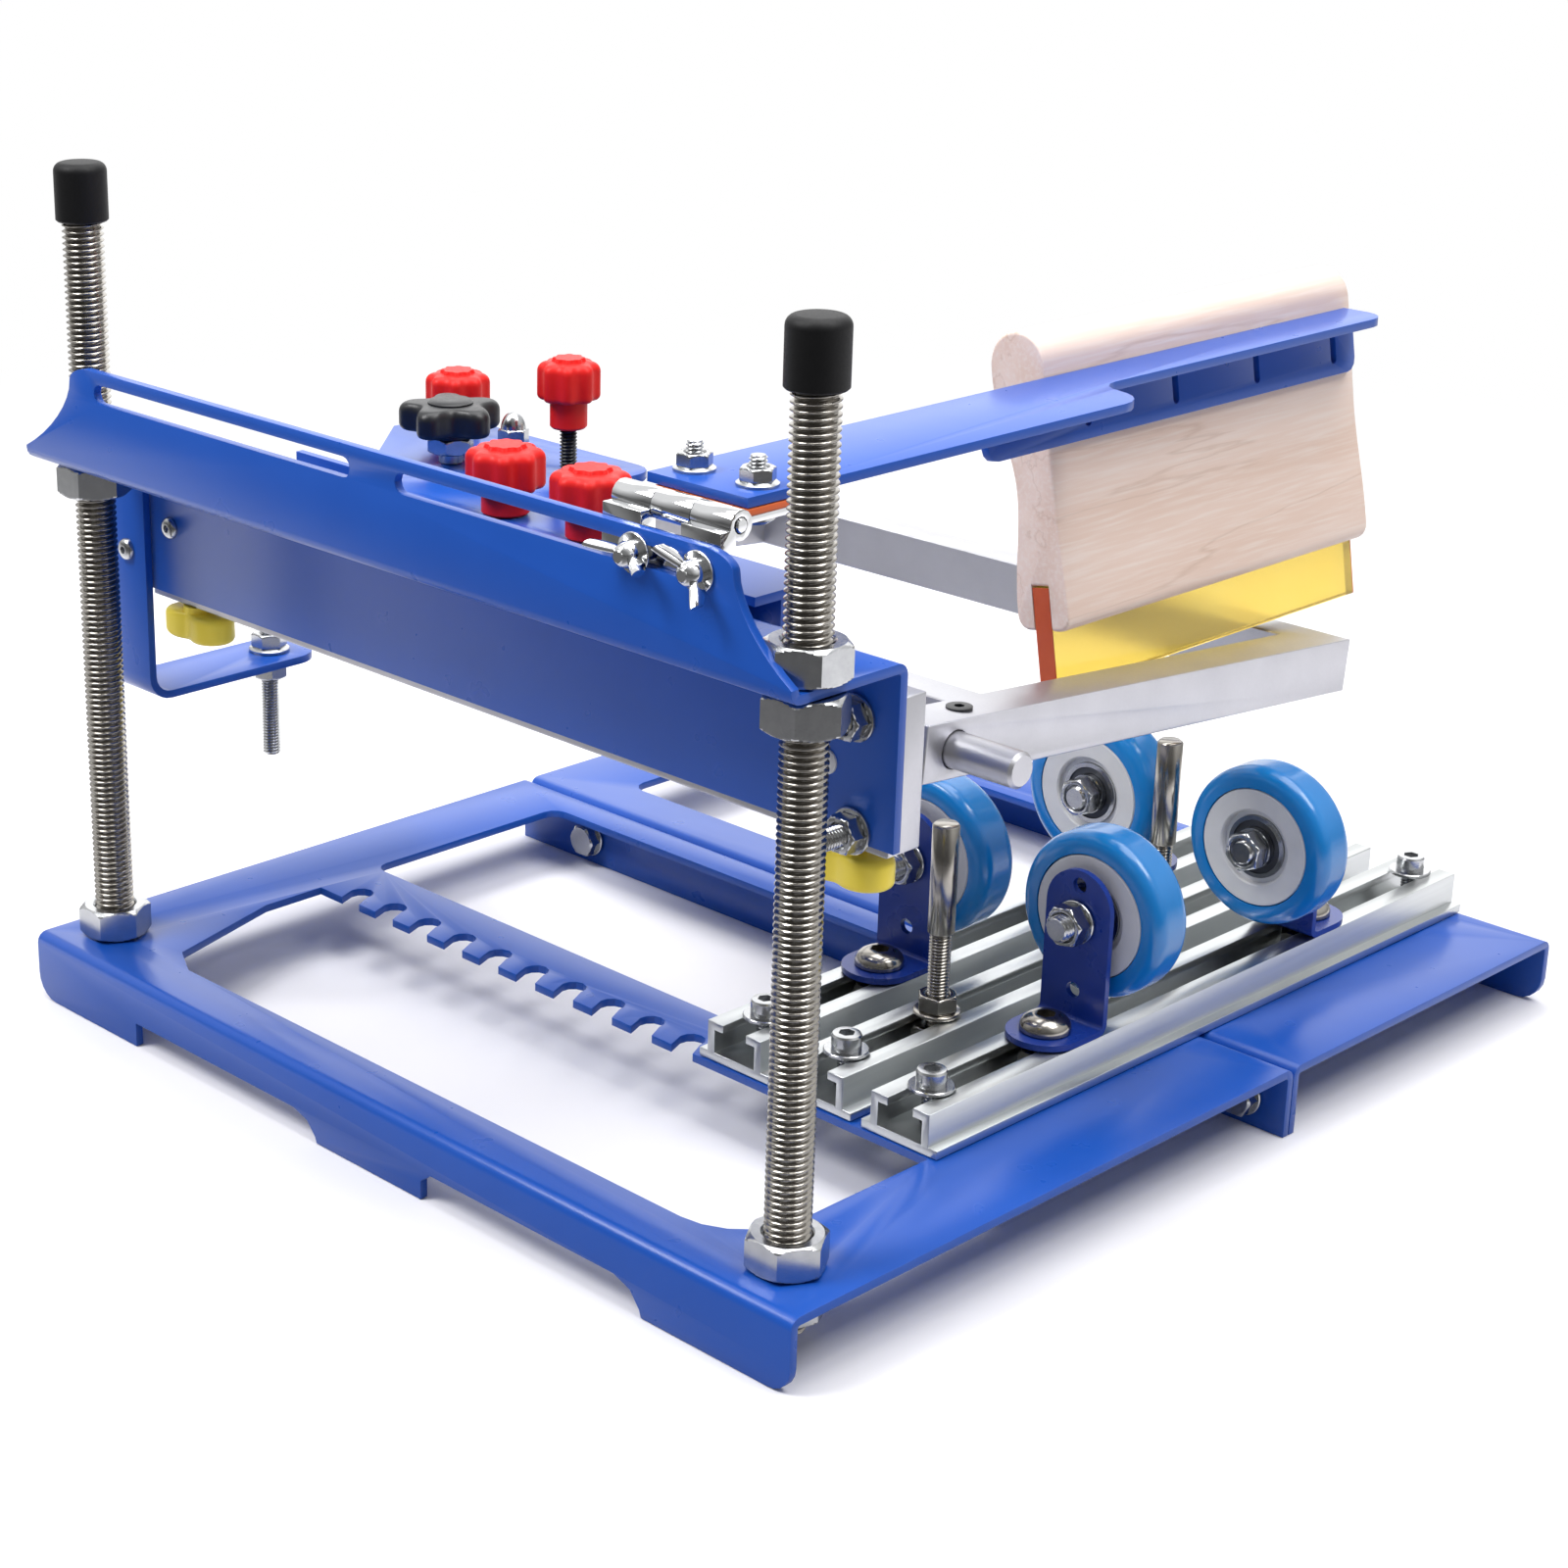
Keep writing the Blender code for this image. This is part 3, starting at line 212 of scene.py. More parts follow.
def maths(tree: Tree, operation: str, first: object, second: object = 0.0) -> Socket:
    """The result of one step of arithmetic on sockets or numbers."""
    return add_node(tree, "Math", {"operation": operation}, i0=first, i1=second).outputs["Value"]


def ranged(tree: Tree, value: object, smooth: bool = False, **limits: float) -> Socket:
    """A value carried from one range to another, along a straight line or a smooth step."""
    kind = "SMOOTHSTEP" if smooth else "LINEAR"
    return add_node(tree, "MapRange", {"interpolation_type": kind}, Value=value, **limits).outputs["Result"]


def blend(tree: Tree, share: object, first: object, second: object) -> Socket:
    """A colour between two, each a socket or a hex code."""
    ends = [linear(end) if isinstance(end, str) else end for end in (first, second)]
    return add_node(tree, "Mix", {"data_type": "RGBA"}, Factor=share, i6=ends[0], i7=ends[1]).outputs[2]


def noise(tree: Tree, place: object, size_mm: float, detail: float) -> Socket:
    """Smooth noise whose cells are a real size across."""
    return add_node(tree, "TexNoise", Vector=place, Scale=1.0 / (size_mm * MM), Detail=detail).outputs["Fac"]


def facing(tree: Tree, place: object) -> Socket:
    """How far a place or direction lies toward the front of the room."""
    dot = add_node(tree, "VectorMath", {"operation": "DOT_PRODUCT"}, i0=place, i1=ROOM_FRONT)
    return dot.outputs["Value"]


@dataclass(frozen=True)
class Finish:
    """A surface: its colours, its shader values, and a pattern worked out from real sizes."""

    name: str
    slot: str
    colour: str
    second: str
    roughness: float
    metallic: float = 0.0
    ior: float = 1.5
    coat: float = 0.0
    coat_roughness: float = 0.12
    transmission: float = 0.0
    patch_mm: float = 8.0
    patch_detail: float = 3.0
    grain_mm: float = 0.6
    grain_detail: float = 2.0
    stretch: Triple = (1.0, 1.0, 1.0)
    relief_mm: float = 0.02
    relief_share: float = 0.6
    rough_swing: float = 0.08
    smoothest: float = 0.02

    def build(self) -> bpy.types.Material:
        """The material, made once.

        Returns:
            The material.
        """
        found = bpy.data.materials.get(self.name)
        if found:
            return found
        made = bpy.data.materials.new(self.name)
        made.use_nodes = True
        tree = made.node_tree
        shader = tree.nodes["Principled BSDF"]
        values = {
            "Metallic": self.metallic, "Coat Weight": self.coat, "Coat Roughness": self.coat_roughness,
            "Transmission Weight": self.transmission,
        }
        if not self.metallic:
            values["IOR"] = self.ior
        for name, value in values.items():
            shader.inputs[name].default_value = value
        self.dress(tree, shader, add_node(tree, "TexCoord").outputs["Object"])
        return made

    def dress(self, tree: Tree, shader: bpy.types.Node, place: Socket) -> None:
        """Links the pattern: patches tint the colour, and fine grain sways the gloss and lifts the surface.

        Args:
            tree: The material's nodes.
            shader: Its Principled shader.
            place: Object coordinates in metres.
        """
        spread = add_node(tree, "Mapping", Vector=place, Scale=self.stretch).outputs["Vector"]
        tint = blend(tree, noise(tree, spread, self.patch_mm, self.patch_detail), self.colour, self.second)
        tree.links.new(tint, shader.inputs["Base Color"])
        grain = noise(tree, spread, self.grain_mm, self.grain_detail)
        least = max(self.smoothest, self.roughness - self.rough_swing)
        gloss = ranged(tree, grain, To_Min=least, To_Max=self.roughness + self.rough_swing)
        tree.links.new(gloss, shader.inputs["Roughness"])
        self.lift(tree, shader, grain)

    def lift(self, tree: Tree, shader: bpy.types.Node, height: Socket) -> None:
        """Raises the surface by a pattern, unless the finish has no relief.

        Args:
            tree: The material's nodes.
            shader: Its Principled shader.
            height: The pattern.
        """
        if self.relief_mm:
            depth = self.relief_mm * MM
            bump = add_node(tree, "Bump", Height=height, Distance=depth, Strength=self.relief_share)
            tree.links.new(bump.outputs["Normal"], shader.inputs["Normal"])


@dataclass(frozen=True)
class WoodFinish(Finish):
    """Planed pale hardwood with grain along Y: rings drawn out along the plank, pores and thin streaks."""

    relief_mm: float = 0.04
    relief_share: float = 0.5
    grain_detail: float = 4.0
    ring_mm: float = 11.0
    ring_detail: float = 5.0
    ring_stretch: Triple = (1.0, 0.05, 0.8)
    ring_rise: tuple[float, float] = (0.35, 0.68)
    pore_stretch: Triple = (1.0, 0.045, 1.0)
    pore_rise: tuple[float, float] = (0.45, 0.75)
    pore_share: float = 0.7
    streak_mm: float = 17.0
    streak_detail: float = 6.0
    streak_level: float = 0.55
    streak_width: float = 0.012
    streak_share: float = 0.28
    pale: str = "#f9eae0"
    streak: str = "#c09a80"

    def dress(self, tree: Tree, shader: bpy.types.Node, place: Socket) -> None:
        """Links growth rings, pores and streaks as colour, and the pores as a low relief along the grain.

        Args:
            tree: The material's nodes.
            shader: Its Principled shader.
            place: Object coordinates in metres.
        """
        along = add_node(tree, "Mapping", Vector=place, Scale=self.ring_stretch).outputs["Vector"]
        drawn = add_node(tree, "Mapping", Vector=place, Scale=self.pore_stretch).outputs["Vector"]
        low, high = self.ring_rise
        ring = ranged(tree, noise(tree, along, self.ring_mm, self.ring_detail), From_Min=low, From_Max=high)
        low, high = self.pore_rise
        pores = noise(tree, drawn, self.grain_mm, self.grain_detail)
        pore = ranged(tree, pores, From_Min=low, From_Max=high, To_Max=self.pore_share)
        planed = blend(tree, pore, blend(tree, ring, self.colour, self.second), self.pale)
        # A streak shows where its noise passes close to its middle level.
        streaks = noise(tree, along, self.streak_mm, self.streak_detail)
        away = maths(tree, "SUBTRACT", streaks, self.streak_level)
        near = maths(tree, "ABSOLUTE", away)
        thin = ranged(tree, near, From_Max=self.streak_width, To_Min=self.streak_share, To_Max=0.0)
        tree.links.new(blend(tree, thin, planed, self.streak), shader.inputs["Base Color"])
        shader.inputs["Roughness"].default_value = self.roughness
        self.lift(tree, shader, pores)


# Polyester powder coat on folded steel: an even gloss with no relief, whose colour and sheen drift slowly.
POWDER = Finish(
    "royal_blue_powder_coat", "blue_coat", "#184fae", "#1e57ba", 0.28, ior=1.4, patch_mm=30.0, grain_mm=9.0,
    relief_mm=0.0, rough_swing=0.015,
)
# The same coat on the roller brackets with a light clear coat, its colour a shade darker as painted shade.
BRACKET_COAT_PAINTED_SHADE = Finish(
    "blue_powder_coat_painted_shade", "blue_coat", "#16348a", "#1b3c98", 0.28, coat=0.1, patch_mm=20.0, grain_mm=9.0,
    relief_mm=0.0, rough_swing=0.03,
)
# Bright zinc plate on steel: a cool silver, cloudy from the bath.
ZINC = Finish(
    "bright_zinc_plate", "zinc", "#a9abae", "#c4c5c6", 0.22, 1.0, patch_mm=3.0, grain_mm=0.5, relief_mm=0.006,
)
# Rolled stainless rod: grey and a little warm.
ROD = Finish(
    "rolled_stainless_rod", "zinc", "#918d87", "#aba7a0", 0.20, 1.0, patch_mm=5.0, grain_mm=0.7,
    relief_mm=0.004,
)
# Chromed hinge: a near mirror with faint haze.
CHROME = Finish(
    "chromed_steel", "chrome", "#d2d3d5", "#e2e3e4", 0.09, 1.0, patch_mm=6.0, relief_mm=0.003,
    rough_swing=0.03,
)
# Extruded aluminium: die lines along Y, drawn at 0.9 mm so that they show, and a soft satin.
EXTRUSION = Finish(
    "extruded_aluminium", "alloy", "#bfc2c3", "#d0d3d3", 0.34, 1.0, patch_mm=2.4, grain_mm=0.9,
    stretch=(1.0, 0.02, 1.0), relief_mm=0.012,
)
# Mill-finish aluminium tube and bar: pale, satin, slightly cloudy.
MILL = Finish(
    "mill_finish_aluminium", "alloy", "#b6b6bb", "#c6c6cb", 0.42, 1.0, patch_mm=14.0, grain_mm=0.8,
    relief_mm=0.008,
)
# Moulded plastics: even colour with a fine spark texture.
RED = Finish("moulded_red_plastic", "red_plastic", "#e01713", "#ea231e", 0.46, ior=1.38, grain_mm=0.8)
BLACK = Finish("moulded_black_plastic", "black_plastic", "#0f1013", "#181a1f", 0.38, grain_mm=0.8)
YELLOW = Finish("moulded_yellow_plastic", "yellow_plastic", "#ffe23c", "#ffea58", 0.42, grain_mm=0.9)
CORE = Finish("moulded_pale_wheel_core", "core_pale", "#d3d4d6", "#e6e6e7", 0.48, grain_mm=0.7)
# Stamped steel seal with a rubber skin, between a bearing's rings.
SEAL = Finish("dark_bearing_seal", "black_plastic", "#3b3d42", "#54575d", 0.45, 0.6, grain_mm=0.7)
# Dipped vinyl on the posts' tops: matt and near black.
RUBBER = Finish("vinyl_end_cap", "cap_rubber", "#060608", "#0b0b0e", 0.55, ior=1.36, grain_mm=0.7)
# Cast polyurethane: glossy, and on the blade clear enough to glow, with a darker cut end.
TYRE = Finish(
    "cast_blue_polyurethane", "tyre_blue", "#0a78c4", "#1286d4", 0.22, coat=0.35, patch_mm=12.0,
    relief_mm=0.006,
)
BLADE = Finish(
    "cast_amber_polyurethane", "blade", "#ffdc5c", "#ffe470", 0.2, transmission=0.8, patch_mm=20.0,
    relief_mm=0.004,
)
BLADE_END = Finish("cut_end_of_amber_blade", "blade", "#b8431f", "#cf5a2a", 0.35, grain_mm=0.8)
# Rubber shim under the squeegee arm.
PAD = Finish("orange_rubber_shim", "orange_pad", "#e5632a", "#f0743a", 0.55, grain_mm=0.8, relief_mm=0.03)
# Planed pale hardwood: pinkish cream with thin brown streaks.
WOOD = WoodFinish("planed_pale_hardwood", "wood", "#f6e0d3", "#ecd0bf", 0.55, grain_mm=1.1)


def span(node: str) -> tuple[np.ndarray, np.ndarray]:
    """A CAD node's lowest and highest corners in millimetres."""
    low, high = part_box(node)
    return np.array(low) / MM, np.array(high) / MM


def middle(node: str) -> np.ndarray:
    """The centre of a CAD node's box in millimetres."""
    low, high = span(node)
    return (low + high) / 2


def linked(name: str, data: bpy.types.ID) -> bpy.types.Object:
    """A new object in the scene that holds some data.

    Args:
        name: The object's name.
        data: A mesh, light or camera.

    Returns:
        The object.
    """
    made = bpy.data.objects.new(name, data)
    bpy.context.scene.collection.objects.link(made)
    return made


def applied(holder: bpy.types.Object) -> bpy.types.Mesh:
    """A new mesh of an object with its modifiers applied."""
    graph = bpy.context.evaluated_depsgraph_get()
    return bpy.data.meshes.new_from_object(holder.evaluated_get(graph))


def turned_out(mesh: bpy.types.Mesh) -> bpy.types.Mesh:
    """The same mesh, with every face turned outwards.

    Args:
        mesh: The mesh, which is changed.

    Returns:
        That mesh.
    """
    work = bmesh.new()
    work.from_mesh(mesh)
    bmesh.ops.recalc_face_normals(work, faces=work.faces)
    work.to_mesh(mesh)
    work.free()
    return mesh


def settle(
    name: str, mesh: bpy.types.Mesh, finish: Finish, body: str, nodes: Sequence[str], crease: float = 32.0
) -> None:
    """Shades, dresses and mounts a mesh as an object that rides a body.

    Args:
        name: The object's name.
        mesh: Its mesh, in metres.
        finish: Its finish.
        body: The CAD body that it moves with.
        nodes: CAD nodes that it replaces.
        crease: Edges sharper than this many degrees stay sharp.
    """
    turned_out(mesh)
    mesh.name = name
    mesh.materials.clear()
    mesh.materials.append(finish.build())
    mesh.shade_smooth()
    mesh.set_sharp_from_angle(angle=math.radians(crease))
    made = linked(name, mesh)
    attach(made, body)
    if nodes:
        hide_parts(*nodes)
    LOG.info("%s: %d faces", name, len(mesh.polygons))


def piece(
    name: str, parts: Shell | list[Shell], finish: Finish, body: str, *nodes: str, crease: float = 35.0
) -> None:
    """Makes an object of one or more shells, riding a body and standing for any nodes named.

    Args:
        name: The object's name.
        parts: Its surfaces.
        finish: Its finish.
        body: The CAD body that it moves with.
        nodes: CAD nodes that it replaces.
        crease: Edges sharper than this many degrees stay sharp.
    """
    shell = parts if isinstance(parts, Shell) else Shell.joined(parts)
    settle(name, shell.mesh(name), finish, body, nodes, crease)


def around(sides: int) -> np.ndarray:
    """Angles of a full turn."""
    return np.arange(sides) * 2 * np.pi / sides


def quarter(steps: int) -> np.ndarray:
    """Angles of a quarter turn."""
    return np.linspace(0, np.pi / 2, steps)


def heel(radius: float, foot: float, ease: float) -> list[tuple[float, float]]:
    """A quarter round of a profile, from a flat foot out to a radius."""
    turn = quarter(7)
    return list(zip(radius - ease + ease * np.sin(turn), foot + ease * (1 - np.cos(turn))))


def shoulder(radius: float, top: float, ease: float, steps: int = 7) -> list[tuple[float, float]]:
    """A quarter round of a profile, from a radius in to a flat top."""
    turn = quarter(steps)
    return list(zip(radius - ease + ease * np.cos(turn), top - ease + ease * np.sin(turn)))


def rows_round(radii: np.ndarray, heights: Sequence[float]) -> np.ndarray:
    """Grid points from a radius for each row and column, and a height for each row.

    Args:
        radii: Array of rows and columns.
        heights: One for each row.

    Returns:
        Array of rows, columns and three coordinates.
    """
    turn = around(radii.shape[1])
    height = np.repeat(np.asarray(heights, float)[:, None], radii.shape[1], 1)
    return np.stack([radii * np.cos(turn), radii * np.sin(turn), height], -1)


def lathe(profile: Profile, sides: int = 56, ring: bool = False) -> Shell:
    """A profile carried round Z.

    Args:
        profile: Radius and height pairs.
        sides: Points round.
        ring: True for a closed profile round a bore, and False caps both ends.

    Returns:
        The turned shell.
    """
    outline = np.asarray(profile, float)
    return Shell.grid(rows_round(np.repeat(outline[:, :1], sides, 1), outline[:, 1]), ring)


def hexagon(flats: float) -> np.ndarray:
    """Radius round a hexagon: half the flats over the cosine of the angle from the nearest flat."""
    fold = around(HEX_SIDES) % (np.pi / 3) - np.pi / 6
    return flats / 2 / np.cos(fold)


def nut(flats: float, height: float, bore: float) -> Shell:
    """A hexagon nut: the lesser of the hexagon and a cone at each face, joined to a chamfered bore.

    Args:
        flats: Width across the flats.
        height: Its height, from zero up Z.
        bore: Radius of the hole.

    Returns:
        The nut.
    """
    into = np.array([0.0, 0.25, 0.5, 0.8, 1.2, height / 2])
    depth = np.concatenate([into, into[-2::-1]])
    level = np.concatenate([into, height - into[-2::-1]])
    face, slope, lead = 0.96, 1.75, 0.7
    cone = flats / 2 * face + depth * slope
    outer = np.minimum(hexagon(flats)[None, :], cone[:, None])
    inner = np.repeat(np.array([bore + lead, bore, bore, bore + lead])[:, None], HEX_SIDES, 1)
    heights = np.concatenate([level, [height, height - lead, lead, 0.0]])
    return Shell.grid(rows_round(np.concatenate([outer, inner]), heights), True)


def flange_nut(flats: float, height: float, bore: float, skirt: float) -> Shell:
    """A nut on a thin round flange at its foot."""
    plate = lathe([(bore, 0.0), (skirt, 0.0), (skirt, 0.7), (skirt - 0.9, 1.3), (bore, 1.5)], 48, True)
    return Shell.joined([plate, nut(flats, height - 1.0, bore).placed((0.0, 0.0, 1.0))])


def thread(radius: float, pitch: float, length: float, sides: int = 20, steps: int = 5) -> Shell:
    """A threaded rod: radius falls from crest to root as a triangle wave of height over pitch less turn.

    Args:
        radius: Crest radius.
        pitch: Rise of one turn.
        length: Rod length, from zero up Z.
        sides: Points round.
        steps: Rows in one pitch.

    Returns:
        The rod, chamfered at both ends.
    """
    height = np.linspace(0.0, length, int(length / pitch * steps) + 1)
    phase = height[:, None] / pitch - around(sides)[None, :] / (2 * np.pi)
    wave = np.abs(2 * (phase - np.floor(phase)) - 1)
    root_flat, depth, lead = 0.15, 0.6 * pitch, 0.7 * pitch
    crest = np.clip((1.2 + root_flat) * wave - root_flat, 0.0, 1.0)
    root = radius - depth
    limit = root + np.clip(np.minimum(height, length - height) / lead, 0.0, 1.0) * depth
    return Shell.grid(rows_round(np.minimum(root + crest * (radius - root), limit[:, None]), height))


def socket_head(outer: Profile, flats: float, depth: float) -> Shell:
    """A screw head from zero up Z: a turned outline, from foot to rim, whose top falls into a hexagon socket.

    Args:
        outer: Radius and height pairs from the foot to the top's rim.
        flats: Size of the socket.
        depth: Depth of the socket.

    Returns:
        The head.
    """
    outline = np.asarray(outer, float)
    top = outline[-1, 1]
    wall = hexagon(flats)[None, :]
    radii = np.concatenate([np.repeat(outline[:, :1], HEX_SIDES, 1), wall, wall])
    return Shell.grid(rows_round(radii, np.concatenate([outline[:, 1], [top, top - depth]])))


def washer(bore: float, outer: float, thick: float) -> Shell:
    """A flat washer with eased rims.

    Args:
        bore: Radius of the hole.
        outer: Outer radius.
        thick: Its thickness.

    Returns:
        The washer.
    """
    ease = min(0.25, thick / 3)
    rim = [(outer - ease, 0.0), (outer, ease), (outer, thick - ease), (outer - ease, thick)]
    return lathe([(bore, 0.0), *rim, (bore, thick)], 48, True)


def hex_bolt(flats: float, head: float, radius: float, length: float) -> Shell:
    """A hexagon bolt whose head stands up from zero and whose threaded shank hangs below.

    Args:
        flats: Width across the head's flats.
        head: Height of the head.
        radius: Crest radius of the shank.
        length: Length of the shank.

    Returns:
        The bolt.
    """
    level = np.array([0.0, 0.3, head - 1.0, head - 0.5, head])
    cone = flats / 2 * 0.95 + np.array([3.0, 3.0, 1.8, 0.9, 0.0])
    grip = np.minimum(hexagon(flats)[None, :], cone[:, None])
    shank = thread(radius, 1.0, length + 0.5).placed((0.0, 0.0, -length))
    return Shell.joined([Shell.grid(rows_round(grip, level)), shank])


def dome_nut(flats: float, height: float) -> Shell:
    """A hexagon foot under a half-round cap.

    Args:
        flats: Width across the foot's flats.
        height: Its whole height.

    Returns:
        The nut.
    """
    turn = quarter(9) * 0.96
    cap = list(zip(flats * 0.46 * np.cos(turn), height * 0.48 + height * 0.52 * np.sin(turn)))
    return Shell.joined([nut(flats, height * 0.5, 1.0), lathe(cap, 40)])


def wing_nut(hub: float, height: float, reach: float) -> Shell:
    """A round hub with two upswept wings, each a flat pill whose middle line curves out and up.

    Args:
        hub: Radius of the hub.
        height: Height of the hub.
        reach: Length of a wing.

    Returns:
        The nut.
    """
    shells = [lathe([(hub, 0.0), (hub, height * 0.4), (hub * 0.72, height * 0.9), (hub * 0.45, height)], 40)]
    along = np.linspace(0.0, 1.0, 14)[:, None]
    turn = around(20)[None, :]
    swell = 0.35 + 0.65 * np.sqrt(np.clip(1 - (2 * along - 1.15) ** 2 / 1.35, 0.02, 1.0))
    wide = 1.1 * np.cos(turn) * np.sqrt(swell)
    tall = height * (0.35 + 0.95 * along ** 1.4) + height * 0.58 * swell * np.sin(turn)
    for side in (-1.0, 1.0):
        out = np.broadcast_to(side * (hub * 0.5 + reach * along), wide.shape)
        shells.append(Shell.grid(np.stack([out, wide, tall], -1)))
    return Shell.joined(shells)


def lobed(levels: Profile, lobes: int, depth: float) -> Shell:
    """A grip whose radius swells and falls with each lobe, carried through levels of radius and height.

    Args:
        levels: Radius and height pairs.
        lobes: How many lobes.
        depth: Share of the radius that is lost between lobes.

    Returns:
        The grip.
    """
    outline = np.asarray(levels, float)
    wave = np.cos(lobes * around(120))
    swing = 1 - depth / 2 + depth / 2 * np.sign(wave) * np.abs(wave) ** 0.8
    return Shell.grid(rows_round(outline[:, :1] * swing[None, :], outline[:, 1]))


@dataclass
class Floor:
    """Pale floor that keeps the shadow near the press and fades to white round it; lengths in metres."""

    half: float = 6.0
    drop: float = 0.0002
    fade_from: float = 0.42
    fade_to: float = 0.95
    paper: str = "#f8f7fa"
    bounce: str = "#bcbbbe"
    front_from: float = 0.1
    front_to: float = 0.4
    front_shade: float = 0.85

    def build(self) -> None:
        """Lays the floor just under the frame and dresses it."""
        mesh = bpy.data.meshes.new("floor")
        corners = [(-1, -1), (1, -1), (1, 1), (-1, 1)]
        mesh.from_pydata([(x * self.half, y * self.half, -self.drop) for x, y in corners], [], [(0, 1, 2, 3)])
        mesh.materials.append(self.material())
        floor = linked("floor", mesh)

    def material(self) -> bpy.types.Material:
        """White paper: diffuse near the press, and plain white further out to the lens, glass and mirrors.

        Returns:
            The floor's material.
        """
        made = bpy.data.materials.new("white_paper_floor")
        made.use_nodes = True
        tree = made.node_tree
        tree.nodes.remove(tree.nodes["Principled BSDF"])
        path = add_node(tree, "LightPath").outputs
        eye = maths(tree, "MAXIMUM", path["Is Camera Ray"], path["Is Glossy Ray"])
        seen = maths(tree, "MAXIMUM", eye, path["Is Transmission Ray"])
        # Seen directly, mirrored or through glass the paper is white; its bounce onto the press is greyer.
        paper = add_node(tree, "BsdfDiffuse", Color=blend(tree, seen, self.bounce, self.paper))
        white = add_node(tree, "Emission", Color=(1.0, 1.0, 1.0, 1.0), Strength=1.0)
        place = add_node(tree, "TexCoord").outputs["Object"]
        away = add_node(tree, "VectorMath", {"operation": "LENGTH"}, i0=place).outputs["Value"]
        fade = ranged(tree, away, True, From_Min=self.fade_from, From_Max=self.fade_to)
        share = maths(tree, "MULTIPLY", fade, seen)
        lit = add_node(tree, "MixShader", Fac=share, i1=paper.outputs["BSDF"], i2=white.outputs["Emission"])
        # Mirrored, the floor falls off toward the unlit front of the room, which gives metal its dark faces.
        ahead = facing(tree, place)
        shade = ranged(
            tree, ahead, True, From_Min=self.front_from, From_Max=self.front_to, To_Max=self.front_shade,
        )
        dim = maths(tree, "MULTIPLY", shade, path["Is Glossy Ray"])
        dark = add_node(tree, "Emission", Strength=0.0)
        last = add_node(tree, "MixShader", Fac=dim, i1=lit.outputs["Shader"], i2=dark.outputs["Emission"])
        tree.links.new(last.outputs["Shader"], tree.nodes["Material Output"].inputs["Surface"])
        return made


@dataclass(frozen=True)
class Lamp:
    """A square softbox: its place, what it faces, its width in metres and its power in watts."""

    name: str
    place: Triple
    target: Triple
    side: float
    watts: float

    def build(self) -> None:
        """Hangs the lamp."""
        light = bpy.data.lights.new(self.name, "AREA")
        light.energy = self.watts
        light.size = self.side
        holder = linked(self.name, light)
        holder.location = self.place
        holder.rotation_euler = (Vector(self.target) - Vector(self.place)).to_track_quat("-Z", "Y").to_euler()


LAMPS = (
    Lamp("overhead_softbox", (0.05, 0.15, 1.6), (0.0, 0.0, 0.1), 1.3, 20.0),
    Lamp("front_left_softbox", (-0.6, -1.1, 1.6), (0.0, 0.0, 0.1), 0.8, 26.0),
    Lamp("right_softbox", (1.0, 0.1, 1.6), (0.05, 0.05, 0.08), 0.7, 12.0),
    # A wide pale backdrop behind the press, which lays a sheen on level faces seen at a low angle.
    Lamp("backdrop", (-1.25, 1.4, 0.75), (0.0, 0.0, 0.1), 2.2, 16.0),
)


@dataclass
class Studio:
    """Soft studio light, a white surround, and the camera at the photograph's angle."""

    lens_mm: float = 70.54
    sensor_mm: float = 36.0
    place_m: Triple = (0.5980, -0.6502, 0.3942)
    turn_deg: Triple = (70.0, -0.256, 47.222)
    shift: tuple[float, float] = (0.1482, -0.0102)
    surround: float = 0.26
    low_glint: float = 0.20
    glint_rise: tuple[float, float] = (-0.1, 0.4)
    front_glint: float = 0.25
    front_rise: tuple[float, float] = (0.2, 0.7)

    def build(self) -> None:
        """Sets the world, the lamps and the camera."""
        bpy.context.scene.view_settings.view_transform = "Standard"
        self.world()
        for lamp in LAMPS:
            lamp.build()
        self.camera()

    def world(self) -> None:
        """A surround that is white to the lens and glass, and dim as a light.

        Metal sees it white overhead and dimmer toward the horizon and the front, which keeps its edges crisp.
        """
        world = bpy.data.worlds.new("white_studio")
        world.use_nodes = True
        bpy.context.scene.world = world
        tree = world.node_tree
        path = add_node(tree, "LightPath").outputs
        seen = maths(tree, "MAXIMUM", path["Is Camera Ray"], path["Is Transmission Ray"])
        level = ranged(tree, seen, To_Min=self.surround, To_Max=1.0)
        toward = add_node(tree, "TexCoord").outputs["Generated"]
        height = add_node(tree, "SeparateXYZ", Vector=toward).outputs["Z"]
        low, high = self.glint_rise
        glint = ranged(tree, height, From_Min=low, From_Max=high, To_Min=self.low_glint, To_Max=1.0)
        low, high = self.front_rise
        ahead = facing(tree, toward)
        front = ranged(tree, ahead, From_Min=low, From_Max=high, To_Min=1.0, To_Max=self.front_glint)
        mirrored = maths(tree, "MULTIPLY", glint, front)
        glossy = path["Is Glossy Ray"]
        strength = add_node(tree, "Mix", {"data_type": "FLOAT"}, Factor=glossy, i2=level, i3=mirrored)
        back = tree.nodes["Background"]
        back.inputs["Color"].default_value = (1.0, 1.0, 1.0, 1.0)
        tree.links.new(strength.outputs[0], back.inputs["Strength"])

    def camera(self) -> None:
        """Sets the camera that was solved from the photograph."""
        camera = bpy.data.cameras.new("camera")
        camera.lens = self.lens_mm
        camera.sensor_width = self.sensor_mm
        camera.shift_x, camera.shift_y = self.shift
        holder = linked("camera", camera)
        holder.location = self.place_m
        holder.rotation_euler = [math.radians(a) for a in self.turn_deg]
        bpy.context.scene.camera = holder


